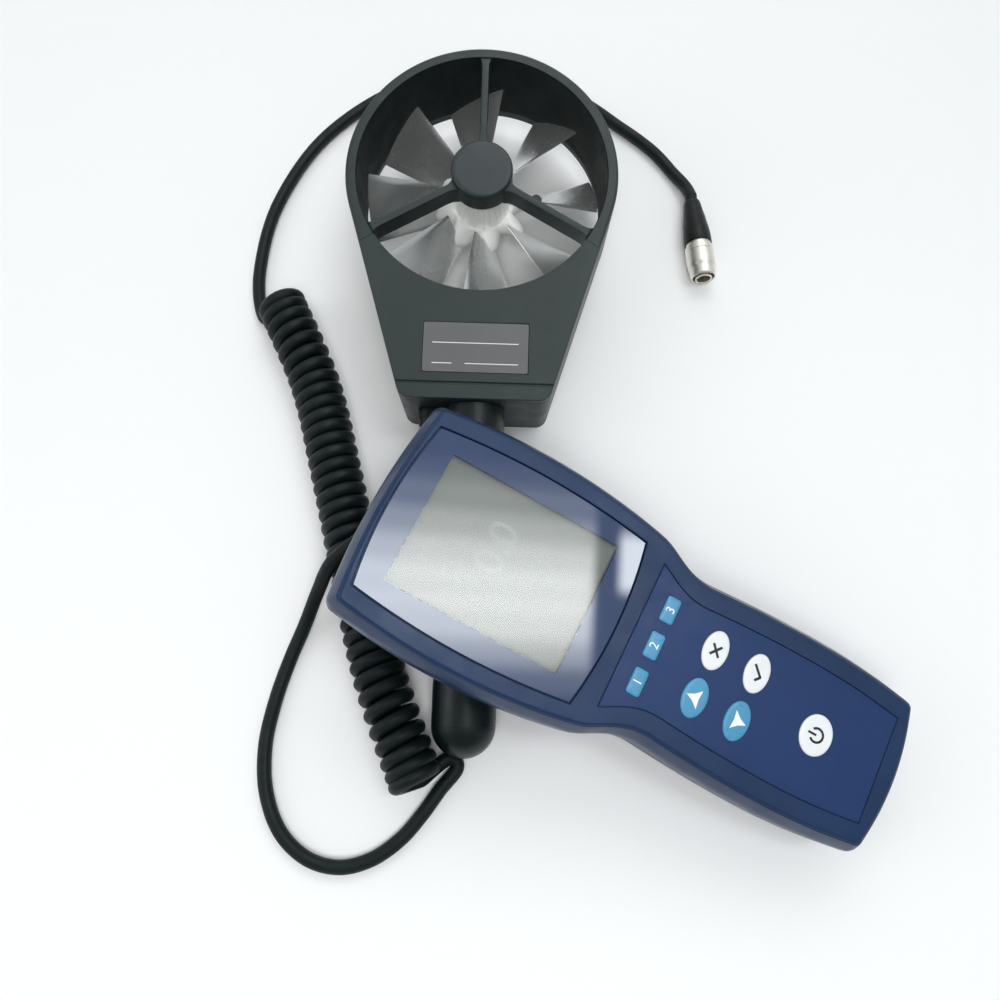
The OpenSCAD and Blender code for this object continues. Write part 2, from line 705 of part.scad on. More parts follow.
module key_one() { soft_key(-1); }
module key_two() { soft_key(0); }
module key_three() { soft_key(1); }
module key_escape() { oval_key([round_key_x[0], round_key_y], round_key_size, "#e8ecee"); }
module key_enter() { oval_key([round_key_x[1], round_key_y], round_key_size, "#e8ecee"); }
module key_left() { oval_key([round_key_x[0], -round_key_y], round_key_size, "#5aa2cf"); }
module key_right() { oval_key([round_key_x[1], -round_key_y], round_key_size, "#5aa2cf"); }
module key_power() { oval_key([power_key_x, 0], power_key_size, "#e8ecee"); }

module dome_sheet() color("#c9b97a") unit_pose() translate([50, -20, board_z])
  cube([82, 40, key_foot_z - key_foot_t - key_travel - 0.1 - board_z]);

module main_board() color("#1f6b43") unit_pose() translate([0, 0, board_z - board_t])
  linear_extrude(board_t) difference() {
    polygon([
      [-40, -31], [40, -31], [50, -26], [66, -23.5], [134, -23.5],
      [134, 23.5], [66, 23.5], [50, 26], [40, 31], [-40, 31]]);
    for (p = case_screw_at) translate(p) circle(r = 3.5);
  }

module battery_cells() color("#b04a2c") unit_pose() for (y = cell_at)
  translate([cell_start, y, door_t + cell_r + 0.4 - case_t]) rotate([0, 90, 0]) {
    cylinder(r = cell_r, h = cell_len - 1.2);
    cylinder(r = 2.7, h = cell_len);
  }

module battery_contacts() color("#c7c9cb") unit_pose() for (y = cell_at, end = [0, 1])
  translate([cell_start - 0.5 + end * (cell_len + 0.6), y - 5, door_t + 2.5 - case_t]) cube([0.4, 10, 10]);

module case_screws() color("#9a9da0") unit_pose() at_case_screws() {
  translate([0, 0, 4 - case_t]) cylinder(r = case_screw_head[0], h = case_screw_head[1]);
  translate([0, 0, 4 - case_t]) cylinder(r = screw_r - slack, h = case_t - 13);
}

// Distances along the socket start at its mouth
module along_socket(d) { translate([socket_seat_x + d, 0, socket_z]) rotate([0, 90, 0]) children(); }

module probe_socket() color("#b9b6ad") unit_pose() difference() {
  union() {
    along_socket(0) cylinder(r = socket_flange_r, h = socket_flange_t);
    along_socket(1) cylinder(r = socket_body_r, h = socket_len - 1);
  }
  along_socket(-1) cylinder(r = socket_bore_r, h = socket_bore_depth + 1);
  along_socket(1) cylinder(r = core_r, h = socket_len);
}

module socket_insert() color("#20211f") unit_pose() along_socket(socket_bore_depth + 0.1) difference() {
  cylinder(r = core_r - 0.01, h = socket_len - socket_bore_depth - 0.1);
  at_pins() translate([0, 0, -1]) cylinder(r = pin_r + 0.06, h = 4, $fn = 24);
}

module socket_nut() color("#b9b6ad") unit_pose() along_socket(socket_flange_t + 0.1 + socket_boss[1])
  difference() {
    cylinder(r = 8, h = 2.5, $fn = 6);
    translate([0, 0, -1]) cylinder(r = socket_body_r + 0.02, h = 5);
  }

rear_housing();
front_cover();
ring_grille();
hub_cap();
shaft_bearings();
bearing_spacer();
pickup_sensor();
sensor_board();
label_plate();
head_screws();
handle_grip();
handle_dome();
handle_bolt();
cable_boot();
coiled_cable();
plug_boot();
plug_body();
plug_insert();
plug_pins();
plug_sleeve();
rotor_hub();
rotor_blades();
rotor_shaft();
shaft_collar();
shaft_clip();
case_front();
case_back();
display_lens();
display_module();
keypad_overlay();
dome_sheet();
main_board();
battery_cells();
battery_contacts();
battery_door();
case_screws();
probe_socket();
socket_insert();
socket_nut();
key_one();
key_two();
key_three();
key_escape();
key_enter();
key_left();
key_right();
key_power();
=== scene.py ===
import json
import math

import bmesh
import bpy
from mathutils import Matrix, Vector
from mathutils.geometry import tessellate_polygon


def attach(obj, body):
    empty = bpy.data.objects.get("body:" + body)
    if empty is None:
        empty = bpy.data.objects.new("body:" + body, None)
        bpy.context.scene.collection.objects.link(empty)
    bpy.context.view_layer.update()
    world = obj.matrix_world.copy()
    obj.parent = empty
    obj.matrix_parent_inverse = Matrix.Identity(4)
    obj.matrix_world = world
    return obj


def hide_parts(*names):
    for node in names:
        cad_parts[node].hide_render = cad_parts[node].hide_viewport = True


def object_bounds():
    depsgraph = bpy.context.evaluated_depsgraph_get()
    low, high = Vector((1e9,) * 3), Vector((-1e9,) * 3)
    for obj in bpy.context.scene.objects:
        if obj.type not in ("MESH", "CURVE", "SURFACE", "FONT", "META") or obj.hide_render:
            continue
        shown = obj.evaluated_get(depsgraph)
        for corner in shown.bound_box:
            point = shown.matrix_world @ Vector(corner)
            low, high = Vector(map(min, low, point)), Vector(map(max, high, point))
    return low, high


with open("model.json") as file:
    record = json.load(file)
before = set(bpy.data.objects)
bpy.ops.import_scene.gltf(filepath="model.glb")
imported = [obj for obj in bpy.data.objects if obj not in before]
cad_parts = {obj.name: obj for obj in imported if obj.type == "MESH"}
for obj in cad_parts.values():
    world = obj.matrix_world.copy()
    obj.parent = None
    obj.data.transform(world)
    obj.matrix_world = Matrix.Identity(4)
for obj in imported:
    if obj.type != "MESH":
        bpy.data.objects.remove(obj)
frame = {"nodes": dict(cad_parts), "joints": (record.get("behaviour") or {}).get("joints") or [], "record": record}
CAD_LOW, CAD_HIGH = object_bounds()

# Everything is drawn in millimetres in the head's, the plug's or the display unit's own frame, and its
# place matrix carries it to the row frame in metres.

MM = 0.001
record = frame["record"]
mounts = {mount["name"]: mount for mount in record["mounts"]}
joints = {joint["name"]: joint for joint in frame["joints"]}


def place(x_axis, z_axis, origin):
    z = Vector(z_axis).normalized()
    x = Vector(x_axis)
    x = (x - z * x.dot(z)).normalized()
    turn = Matrix((x, z.cross(x), z)).transposed().to_4x4()
    return Matrix.Translation(origin) @ turn @ Matrix.Scale(MM, 4)


HEAD = place((1, 0, 0), -Vector(mounts["duct_seat"]["axis"]), mounts["duct_seat"]["pos_m"])

plug_axis = Vector(mounts["plug_nose"]["axis"])
PLUG_LENGTH = 34.5
plug_start = Vector(mounts["plug_nose"]["pos_m"]) - PLUG_LENGTH * MM * plug_axis
PLUG = place((0, 0, 1), plug_axis, plug_start)

unit_x = Vector(joints["door_slide"]["axis"])
unit_z = -Vector(joints["press_power"]["axis"])
CASE_T = 33
SOCKET_X = -42.3
SOCKET_Z = -22.0
unit_origin = Vector(mounts["probe_socket"]["pos_m"]) - (SOCKET_X * unit_x + SOCKET_Z * unit_z) * MM
UNIT = place(unit_x, unit_z, unit_origin)


def span(node, matrix):
    """Lowest and highest corner of a CAD node in a place's frame, in millimetres."""
    back = matrix.inverted()
    points = [back @ vertex.co for vertex in frame["nodes"][node].data.vertices]
    low = Vector([min(p[i] for p in points) for i in range(3)])
    high = Vector([max(p[i] for p in points) for i in range(3)])
    return low, high


# ------------------------ drawing

MERGE_M = 2e-6
EDGE_STEPS = 3
ROUNDED_ANGLE = 40


def circle(radius, z, steps):
    """Points round the frame's Z axis at a height."""
    turns = [2 * math.pi * i / steps for i in range(steps)]
    return [(radius * math.cos(a), radius * math.sin(a), z) for a in turns]


class Draw:
    """Closed surfaces gathered in one frame, made into one object."""

    def __init__(self, matrix):
        self.matrix = matrix
        self.points = []
        self.faces = []
        self.tags = []

    def add(self, points, faces, tag=0):
        start = len(self.points)
        self.points.extend(Vector(p) for p in points)
        self.faces.extend([start + i for i in face] for face in faces)
        self.tags.extend([tag] * len(faces))

    def loft(self, rings, tag=0, capped=True, loop=False):
        """A skin over rings with the same number of points, capped at its ends or closed in a loop."""
        count = len(rings[0])
        rows = len(rings)
        faces = []
        for row in range(rows if loop else rows - 1):
            a, b = row * count, (row + 1) % rows * count
            for k in range(count):
                n = (k + 1) % count
                faces.append([a + k, a + n, b + n, b + k])
        if capped and not loop:
            faces.append(list(range(count))[::-1])
            faces.append([(rows - 1) * count + k for k in range(count)])
        self.add([p for ring in rings for p in ring], faces, tag)

    def wall(self, *levels, capped=False):
        """A skin through levels, each a loop and its height."""
        self.loft([[(p[0], p[1], z) for p in loop] for loop, z in levels], capped=capped)

    def lathe(self, profile, steps=96, at=Matrix.Identity(4), wave=None):
        """A closed profile of (radius, height) turned round the frame's Z axis."""
        rings = []
        for i in range(steps):
            a = 2 * math.pi * i / steps
            ring = []
            for r, z in profile:
                grow = wave(a, z) if wave else 0
                ring.append(at @ Vector(((r + grow) * math.cos(a), (r + grow) * math.sin(a), z)))
            rings.append(ring)
        self.loft(rings, loop=True)

    def disc_lathe(self, profile, steps=96, at=Matrix.Identity(4)):
        """An open profile of (radius, height), capped at both ends, turned round the Z axis."""
        self.loft([[at @ Vector(point) for point in circle(r, z, steps)] for r, z in profile])

    def plate(self, loops, z, tag=0):
        """A flat region at height z inside the first loop and outside the others."""
        flat = [[Vector((p[0], p[1], 0)) for p in loop] for loop in loops]
        points = [Vector((p[0], p[1], z)) for loop in loops for p in loop]
        faces = [list(t) for t in tessellate_polygon(flat)]
        self.add(points, faces, tag)

    def prism(self, loop, z0, z1, edge=0.0):
        """An upright block over a loop, its top edge rounded by edge."""
        centre = Vector((sum(p[0] for p in loop) / len(loop), sum(p[1] for p in loop) / len(loop)))
        levels = [(z0, 0)]
        if edge:
            for k in range(EDGE_STEPS + 1):
                a = math.pi / 2 * k / EDGE_STEPS
                levels.append((z1 - edge + edge * math.sin(a), edge * (1 - math.cos(a))))
        else:
            levels.append((z1, 0))
        rings = []
        for z, inset in levels:
            ring = []
            for p in loop:
                away = Vector((p[0], p[1])) - centre
                scale = max(0, 1 - inset / max(away.length, 1e-6))
                ring.append((centre[0] + away[0] * scale, centre[1] + away[1] * scale, z))
            rings.append(ring)
        self.loft(rings)

    def mesh(self, name):
        mesh = bpy.data.meshes.new(name)
        mesh.from_pydata([self.matrix @ p for p in self.points], [], self.faces)
        for polygon, tag in zip(mesh.polygons, self.tags):
            polygon.material_index = tag
        return mesh

    def make(self, name, body, materials, stands_for=(), sharp=32, drill=None):
        mesh = self.mesh(name)
        if drill:
            mesh = bored(mesh, drill.mesh("drill"))
        return finish_piece(name, mesh, body, materials, stands_for, sharp)


def bored(mesh, tool):
    """The mesh with the tool's volume taken out of it."""
    shape = bmesh.new()
    shape.from_mesh(mesh)
    bmesh.ops.remove_doubles(shape, verts=shape.verts, dist=MERGE_M)
    bmesh.ops.recalc_face_normals(shape, faces=shape.faces)
    shape.to_mesh(mesh)
    shape.free()
    block = bpy.data.objects.new("block", mesh)
    drill = bpy.data.objects.new("drill", tool)
    for item in (block, drill):
        bpy.context.scene.collection.objects.link(item)
    cut = block.modifiers.new("cut", "BOOLEAN")
    cut.object = drill
    cut.solver = "EXACT"
    bpy.context.view_layer.update()
    result = bpy.data.meshes.new_from_object(block.evaluated_get(bpy.context.evaluated_depsgraph_get()))
    for item in (block, drill):
        bpy.data.objects.remove(item)
    return result


def finish_piece(name, mesh, body, materials, stands_for=(), sharp=32, merge=True):
    """The mesh cleaned and shaded, as a piece that rides on a body."""
    shape = bmesh.new()
    shape.from_mesh(mesh)
    if merge:
        bmesh.ops.remove_doubles(shape, verts=shape.verts, dist=MERGE_M)
    bmesh.ops.dissolve_degenerate(shape, dist=1e-7, edges=shape.edges)
    bmesh.ops.recalc_face_normals(shape, faces=shape.faces)
    shape.to_mesh(mesh)
    shape.free()
    mesh.polygons.foreach_set("use_smooth", [True] * len(mesh.polygons))
    mesh.set_sharp_from_angle(angle=math.radians(sharp))
    piece = bpy.data.objects.new(name, mesh)
    bpy.context.scene.collection.objects.link(piece)
    for material in materials:
        mesh.materials.append(material)
    weighted = piece.modifiers.new("weighted", "WEIGHTED_NORMAL")
    weighted.keep_sharp = True
    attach(piece, body)
    if stands_for:
        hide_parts(*stands_for)
    return piece


def refined(node, name, body, material, edge, steps=3):
    """A copy of a CAD node with its sharp edges rounded."""
    mesh = frame["nodes"][node].data.copy()
    mesh.materials.clear()
    shape = bmesh.new()
    shape.from_mesh(mesh)
    bmesh.ops.remove_doubles(shape, verts=shape.verts, dist=MERGE_M)
    bmesh.ops.dissolve_limit(
        shape, angle_limit=math.radians(0.4), verts=shape.verts, edges=shape.edges)
    shape.to_mesh(mesh)
    shape.free()
    piece = finish_piece(name, mesh, body, [material], [node], merge=False)
    bevel = piece.modifiers.new("rounded", "BEVEL")
    bevel.width = edge * MM
    bevel.segments = steps
    bevel.limit_method = "ANGLE"
    bevel.angle_limit = math.radians(ROUNDED_ANGLE)
    bevel.miter_outer = "MITER_ARC"
    while piece.modifiers[0].name != "rounded":
        piece.modifiers.move(piece.modifiers.find("rounded"), 0)
    return piece


def arc(centre, radius, start, end, steps):
    """Points round an arc, both ends included; angles in degrees."""
    points = []
    for k in range(steps + 1):
        a = math.radians(start + (end - start) * k / steps)
        points.append((centre[0] + radius * math.cos(a), centre[1] + radius * math.sin(a)))
    return points


def rounded_box(x0, y0, x1, y1, r, steps=6):
    return (arc((x1 - r, y0 + r), r, -90, 0, steps) + arc((x1 - r, y1 - r), r, 0, 90, steps)
            + arc((x0 + r, y1 - r), r, 90, 180, steps) + arc((x0 + r, y0 + r), r, 180, 270, steps))


def smooth_path(points, steps):
    """A curve through the points, steps from each point to the next."""
    path = []
    for i in range(len(points) - 1):
        a, b = points[max(i - 1, 0)], points[i]
        c, d = points[i + 1], points[min(i + 2, len(points) - 1)]
        for k in range(steps):
            t = k / steps
            path.append(b + (c - a) * (t / 2) + (2 * a - 5 * b + 4 * c - d) * (t * t / 2)
                        + (3 * b - a - 3 * c + d) * (t * t * t / 2))
    path.append(points[-1])
    return path


def ease(t):
    t = min(max(t, 0), 1)
    return t * t * (3 - 2 * t)


# ------------------------ materials


class Nodes:
    """Short names for the node tree of one material."""

    def __init__(self, name):
        self.material = bpy.data.materials.new(name)
        self.material.use_nodes = True
        self.tree = self.material.node_tree
        self.shader = self.tree.nodes["Principled BSDF"]
        self.output = self.tree.nodes["Material Output"]
        self.where = self.new("ShaderNodeTexCoord").outputs["Object"]

    def new(self, kind, **inputs):
        node = self.tree.nodes.new(kind)
        for key, value in inputs.items():
            self.set(node, key.replace("_", " "), value)
        return node

    def set(self, node, key, value):
        socket = node.inputs[key]
        if hasattr(value, "is_linked"):
            self.tree.links.new(value, socket)
        else:
            socket.default_value = value

    def noise(self, scale, detail=2.0, stretch=None):
        source = self.where
        if stretch:
            mapping = self.new("ShaderNodeMapping", Vector=source)
            mapping.inputs["Scale"].default_value = stretch
            source = mapping.outputs["Vector"]
        return self.new("ShaderNodeTexNoise", Vector=source, Scale=scale, Detail=detail).outputs["Fac"]

    def between(self, factor, low, high, start=0.0, end=1.0):
        node = self.new("ShaderNodeMapRange", Value=factor)
        self.set(node, "From Min", start)
        self.set(node, "From Max", end)
        self.set(node, "To Min", low)
        self.set(node, "To Max", high)
        return node.outputs["Result"]

    def mix(self, factor, one, two):
        node = self.tree.nodes.new("ShaderNodeMix")
        node.data_type = "RGBA"
        self.set(node, 0, factor)
        self.set(node, 6, one)
        self.set(node, 7, two)
        return node.outputs[2]

    def tones(self, factor, color, spread):
        """A colour that drifts between a darker and a lighter tone of itself."""
        return self.mix(factor, shade(color, 1 - spread), shade(color, 1 + spread))

    def bump(self, height, strength, distance):
        node = self.new("ShaderNodeBump", Height=height, Strength=strength, Distance=distance)
        return node.outputs["Normal"]

    def put(self, **inputs):
        for key, value in inputs.items():
            self.set(self.shader, key.replace("_", " "), value)


def shade(color, gain):
    return (min(color[0] * gain, 1), min(color[1] * gain, 1), min(color[2] * gain, 1), 1)


def plastic(name, color, rough=0.42, grain=2600, depth=0.25, spread=0.12, wear=0.35, shine=0.5):
    """Moulded plastic: a fine grain, slow changes of tone, and edges rubbed a little brighter."""
    n = Nodes(name)
    body = n.tones(n.between(n.noise(38, 4), 0, 1, 0.3, 0.7), color, spread)
    worn = n.between(n.new("ShaderNodeNewGeometry").outputs["Pointiness"], 0, wear, 0.52, 0.6)
    n.put(Base_Color=n.mix(worn, body, shade(color, 1.9)))
    speck = n.noise(grain, 3)
    n.put(Roughness=n.between(n.noise(120, 5), rough - 0.05, rough + 0.06, 0.35, 0.65))
    n.put(Normal=n.bump(speck, depth, 0.00006), Specular_IOR_Level=shine)
    return n.material


def metal(name, color, rough=0.28, stretch=(1, 1, 30), scale=300, spread=0.06, relief=0.12,
          metallic=1.0):
    """Turned or rolled metal: fine streaks in tone, roughness and height."""
    n = Nodes(name)
    streaks = n.noise(scale, 6, stretch=stretch)
    n.put(Base_Color=n.tones(n.between(streaks, 0, 1, 0.3, 0.7), color, spread))
    n.put(Metallic=metallic, Roughness=n.between(streaks, rough * 0.75, rough * 1.3, 0.3, 0.7))
    n.put(Normal=n.bump(streaks, relief, 0.00005))
    return n.material


def rubber(name, color, rough, spread=0.2, grain=1500, depth=0.3):
    """Soft black rubber: a dull, hazy skin with a fine grain."""
    n = Nodes(name)
    n.put(Base_Color=n.tones(n.between(n.noise(55, 5), 0, 1, 0.35, 0.65), color, spread))
    n.put(Roughness=n.between(n.noise(200, 4), rough - 0.07, rough + 0.08, 0.35, 0.65))
    n.put(Normal=n.bump(n.noise(grain, 4), depth, 0.00008))
    n.put(Specular_IOR_Level=0.3)
    return n.material


HEAD_PLASTIC = plastic("head_plastic", (0.0135, 0.0225, 0.0212), rough=0.45, depth=0.3)
# Painted shade: the duct's bore gets this darker colour in place of the shade that falls inside it.
DUCT_PAINTED_SHADE = plastic("duct_painted_shade", (0.0030, 0.0068, 0.0066), rough=0.6, depth=0.3, wear=0.1,
                       shine=0.2)
CAP_PLASTIC = plastic("cap_plastic", (0.021, 0.031, 0.033), rough=0.4, depth=0.2)
HANDLE_PLASTIC = plastic("handle_plastic", (0.0018, 0.0056, 0.0060), rough=0.33, depth=0.2, shine=0.36)
SENSOR_PLASTIC = plastic("sensor_plastic", (0.010, 0.011, 0.011), rough=0.5)
LEAD_RUBBER = rubber("lead_rubber", (0.0035, 0.0075, 0.0072), rough=0.5)
BOOT_RUBBER = rubber("boot_rubber", (0.006, 0.0068, 0.0072), rough=0.42)
NICKEL = metal("nickel", (0.86, 0.84, 0.76), rough=0.42)
STEEL = metal("steel", (0.55, 0.56, 0.57), rough=0.3)
GOLD = metal("gold_contacts", (0.82, 0.6, 0.25), rough=0.22)
CASE_PLASTIC = plastic("case_plastic", (0.0105, 0.0300, 0.0860), rough=0.34, grain=3200, depth=0.2,
                       wear=0.1, shine=0.3)
DOOR_PLASTIC = plastic("door_plastic", (0.0085, 0.0270, 0.0760), rough=0.4, grain=3200, depth=0.3)
OVERLAY = plastic("overlay", (0.0070, 0.0280, 0.1060), rough=0.36, grain=5200, depth=0.16, spread=0.05,
                  wear=0.1, shine=0.36)
BLUE_KEY = plastic("blue_key", (0.066, 0.275, 0.470), rough=0.3, grain=5200, depth=0.1, spread=0.05,
                   wear=0.2)
WHITE_KEY = plastic("white_key", (0.78, 0.80, 0.82), rough=0.32, grain=5200, depth=0.1, spread=0.03,
                    wear=0.05)
WHITE_INK = plastic("white_ink", (0.85, 0.88, 0.90), rough=0.45, grain=5200, depth=0.1, spread=0.03,
                    wear=0.0)
DARK_INK = plastic("dark_ink", (0.008, 0.009, 0.014), rough=0.4, grain=5200, depth=0.1, spread=0.1,
                   wear=0.0)
LABEL = plastic("label", (0.108, 0.108, 0.110), rough=0.45, grain=4200, depth=0.18, spread=0.06,
                wear=0.1)
ROTOR_PLASTIC = plastic("rotor_plastic", (0.95, 0.955, 0.925), rough=0.36, depth=0.2, spread=0.05,
                        wear=0.1)
BLADE = metal("blade_aluminium", (0.93, 0.94, 0.93), rough=0.27, stretch=(1, 1, 1), scale=30,
              spread=0.03, relief=0.0, metallic=0.88)
BOARD = plastic("circuit_board", (0.015, 0.11, 0.045), rough=0.3, depth=0.4)
FOIL = plastic("dome_foil", (0.52, 0.42, 0.2), rough=0.3)
CELL = plastic("cell_wrap", (0.40, 0.08, 0.04), rough=0.25, depth=0.05)


def lens_border():
    """The lens's printed border under its polished face."""
    n = Nodes("lens_border")
    tone = n.between(n.noise(30, 3), 0, 1, 0.3, 0.7)
    n.put(Base_Color=n.mix(tone, (0.020, 0.040, 0.110, 1), (0.024, 0.046, 0.120, 1)))
    n.put(Roughness=0.6, Specular_IOR_Level=0.2, Coat_Weight=1.0, Coat_IOR=1.62)
    n.put(Coat_Roughness=n.between(n.noise(14, 5), 0.012, 0.03, 0.3, 0.7))
    return n.material


def lens_window(name, ior):
    """Clear acrylic: the display shows through, under a polished reflection."""
    n = Nodes(name)
    clear = n.new("ShaderNodeBsdfTransparent", Color=(0.93, 0.95, 0.95, 1))
    gloss = n.new("ShaderNodeBsdfGlossy", Color=(1, 0.975, 0.955, 1))
    n.set(gloss, "Roughness", n.between(n.noise(14, 5), 0.012, 0.03, 0.3, 0.7))
    fresnel = n.new("ShaderNodeFresnel", IOR=ior)
    both = n.tree.nodes.new("ShaderNodeMixShader")
    n.set(both, 0, fresnel.outputs[0])
    n.set(both, 1, clear.outputs[0])
    n.set(both, 2, gloss.outputs[0])
    n.tree.links.new(both.outputs[0], n.output.inputs["Surface"])
    return n.material


def display_glass():
    """A reflective liquid-crystal display: grey-green, with a fine raster of cells."""
    n = Nodes("display_glass")
    lines = n.new("ShaderNodeTexChecker", Vector=n.where, Scale=2600.0)
    slow = n.between(n.noise(22, 3), 0, 1, 0.3, 0.7)
    body = n.mix(slow, (0.275, 0.280, 0.262, 1), (0.305, 0.310, 0.288, 1))
    cells = n.mix(n.between(lines.outputs["Fac"], 0.0, 0.12), body, (0.25, 0.255, 0.24, 1))
    n.put(Base_Color=cells, Roughness=0.5, Specular_IOR_Level=0.08)
    return n.material


LENS_BORDER = lens_border()
LENS_WINDOW = lens_window("lens_window", 1.62)
LENS_INSIDE = lens_window("lens_inside", 1.12)
DISPLAY = display_glass()
GHOST = plastic("display_segment", (0.32, 0.325, 0.28), rough=0.35, grain=4200, depth=0.05, spread=0.03,
                wear=0.0)

# ------------------------ duct head

grille_low, grille_high = span("ring_grille", HEAD)
housing_low = span("rear_housing", HEAD)[0]
cap_high = span("hub_cap", HEAD)[1]
RING_R = grille_high.x
DUCT_R = 50.0
GRILLE_Z = grille_low.z
HEAD_DEPTH = grille_high.z
BASE_DROP = -housing_low.y
HUB_R = cap_high.x
SEAM = 33.5
CORNER = Vector((24.8, 5 - BASE_DROP))
CORNER_R = 5.0
STRUT_ANGLES = (90, -30, 210)
STRUT_DEPTH = 10.0
STRUT_HALF = 1.45
STRUT_EDGE = 0.55
STRUT_STEPS = 48
HUB_Z = HEAD_DEPTH - 8.5


def side_line():
    """The straight side: its direction angle from the duct's axis, in degrees."""
    return math.degrees(math.atan2(CORNER.y, CORNER.x)
                        + math.acos((RING_R - CORNER_R) / CORNER.length))


SIDE_ANGLE = side_line()


def outline_reach(angle):
    """Distance from the duct's axis to the head's outline in a direction, in degrees."""
    a = angle % 360
    a = a - 360 if a > 180 else a
    lean = math.radians(SIDE_ANGLE)
    if a > 90 or a < -90:
        a = 180 - a if a > 0 else -180 - a
    if a >= SIDE_ANGLE:
        return RING_R
    return RING_R / math.cos(math.radians(a) - lean)


def rounded_section(r_in, r_out, z0, z1, inner=0.5, outer=1.3, steps=5):
    """Radial section of the ring: an upright band whose front edges are rounded."""
    section = [(r_in, z0)]
    section += [(r_in + inner + inner * math.cos(a), z1 - inner + inner * math.sin(a))
                for a in (math.pi - math.pi / 2 * k / steps for k in range(steps + 1))]
    section += [(r_out - outer + outer * math.cos(a), z1 - outer + outer * math.sin(a))
                for a in (math.pi / 2 - math.pi / 2 * k / steps for k in range(steps + 1))]
    section += [(r_out, z0 + 0.25), (r_out - 0.25, z0)]
    return section


def band(draw, start, end, steps, z0, z1):
    """The ring's wall from one direction round to another, in degrees."""
    rings = []
    for k in range(steps + 1):
        angle = start + (end - start) * k / steps
        a = math.radians(angle)
        rings.append([(r * math.cos(a), r * math.sin(a), z)
                      for r, z in rounded_section(DUCT_R, outline_reach(angle), z0, z1)])
    draw.loft(rings)


def strut(draw, angle):
    """A strut from hub to ring that widens into both, with rounded front edges."""
    turn = Matrix.Rotation(math.radians(angle), 4, "Z")
    z0, z1 = HEAD_DEPTH - STRUT_DEPTH, HEAD_DEPTH - 0.15
    start, end = HUB_R - 1, DUCT_R + 1
    rings = []
    for k in range(STRUT_STEPS + 1):
        r = start + (end - start) * k / STRUT_STEPS
        flare = 1.3 * math.exp(-max(r - HUB_R, 0) / 1.2) + 1.3 * math.exp(-max(DUCT_R - r, 0) / 1.2)
        half = STRUT_HALF + flare
        section = [(half, z0 + 0.3), (half, z1 - STRUT_EDGE), (half - 0.16, z1 - 0.16),
                   (half - STRUT_EDGE, z1), (STRUT_EDGE - half, z1), (0.16 - half, z1 - 0.16),
                   (-half, z1 - STRUT_EDGE), (-half, z0 + 0.3), (0.3 - half, z0), (half - 0.3, z0)]
        rings.append([turn @ Vector((r, y, z)) for y, z in section])
    draw.loft(rings)


grille = Draw(HEAD)
band(grille, -SEAM, 180 + SEAM, 260, GRILLE_Z, HEAD_DEPTH)
for strut_angle in STRUT_ANGLES:
    strut(grille, strut_angle)
grille.lathe([(4, HUB_Z), (HUB_R - 0.4, HUB_Z), (HUB_R, HUB_Z + 0.4), (HUB_R, HEAD_DEPTH), (4, HEAD_DEPTH)])
pickup_at = Matrix.Rotation(math.radians(STRUT_ANGLES[1]), 4, "Z") @ Matrix.Translation((24.5, 1.3, 0))
pickup_boss = [(1.52, 30.7), (1.9, 30.7), (2.2, 31), (2.2, 39.4), (1.9, 40.1), (1.52, 40.2)]
grille.lathe(pickup_boss, 40, at=pickup_at)
grille_piece = grille.make("grille_ring", "probe", [HEAD_PLASTIC], ["ring_grille"])


def paint_duct_shade(piece):
    """Paints shade into the duct's bore: a darker material stands in for the shade that falls inside it."""
    # Faces on the bore get the painted-shade material.
    piece.data.materials.append(DUCT_PAINTED_SHADE)
    back = HEAD.inverted()
    for polygon in piece.data.polygons:
        spot = back @ polygon.center
        if abs(math.hypot(spot.x, spot.y) - DUCT_R) < 0.4:
            polygon.material_index = 1


paint_duct_shade(grille_piece)

cap = Draw(HEAD)
cap_top = cap_high.z
cap.disc_lathe([
    (3.9, HEAD_DEPTH - 0.6), (3.9, HEAD_DEPTH), (HUB_R - 0.25, HEAD_DEPTH),
    (HUB_R - 0.25, HEAD_DEPTH + 0.35), (HUB_R, HEAD_DEPTH + 0.4), (HUB_R, cap_top - 1.1),
    (HUB_R - 0.12, cap_top - 0.7), (HUB_R - 0.4, cap_top - 0.35), (HUB_R - 0.8, cap_top - 0.15),
    (HUB_R - 1.4, cap_top - 0.05), (HUB_R - 2.4, cap_top), (2, cap_top)])
cap.make("hub_cap_disc", "probe", [CAP_PLASTIC], ["hub_cap"])

paint_duct_shade(refined("rear_housing", "housing_shell", "probe", HEAD_PLASTIC, 0.8))
refined("front_cover", "cover_shell", "probe", HEAD_PLASTIC, 0.3)

label_low, label_high = span("label_plate", HEAD)
label = Draw(HEAD)
card = rounded_box(label_low.x, label_low.y, label_high.x, label_high.y, 0.8)
label.prism(card, label_low.z, label_high.z, 0.12)
label.make("label_card", "probe", [LABEL], ["label_plate"])
RULE_T = 0.28
rule = Draw(HEAD)
for x0, rule_y, x1 in ((-16.6, -6.6, -9.0), (-4.0, -6.6, 16.4), (-16.6, 1.6, 16.4)):
    y = (label_low.y + label_high.y) / 2 + rule_y
    stroke = [(x0, y), (x1, y), (x1, y + RULE_T), (x0, y + RULE_T)]
    rule.prism(stroke, label_high.z - 0.05, label_high.z + 0.02)
rule.make("label_rules", "probe", [WHITE_INK])

# ------------------------ rotor

hub_low, hub_high = span("rotor_hub", HEAD)
ROTOR_Z = hub_low.z
ROTOR_DEPTH = hub_high.z - hub_low.z
BLADES = 8
SWEEP = 27.5
REST = 5.2
TIP_R = 48.2
ROOT_R = 17.4
BLADE_T = 0.8
BLADE_EDGE = 0.8


def blade_angle(share):
    """Direction of the first blade's centre line at a share of the rotor's depth, in degrees."""
    return 90 + REST - SWEEP * (share - 0.5)


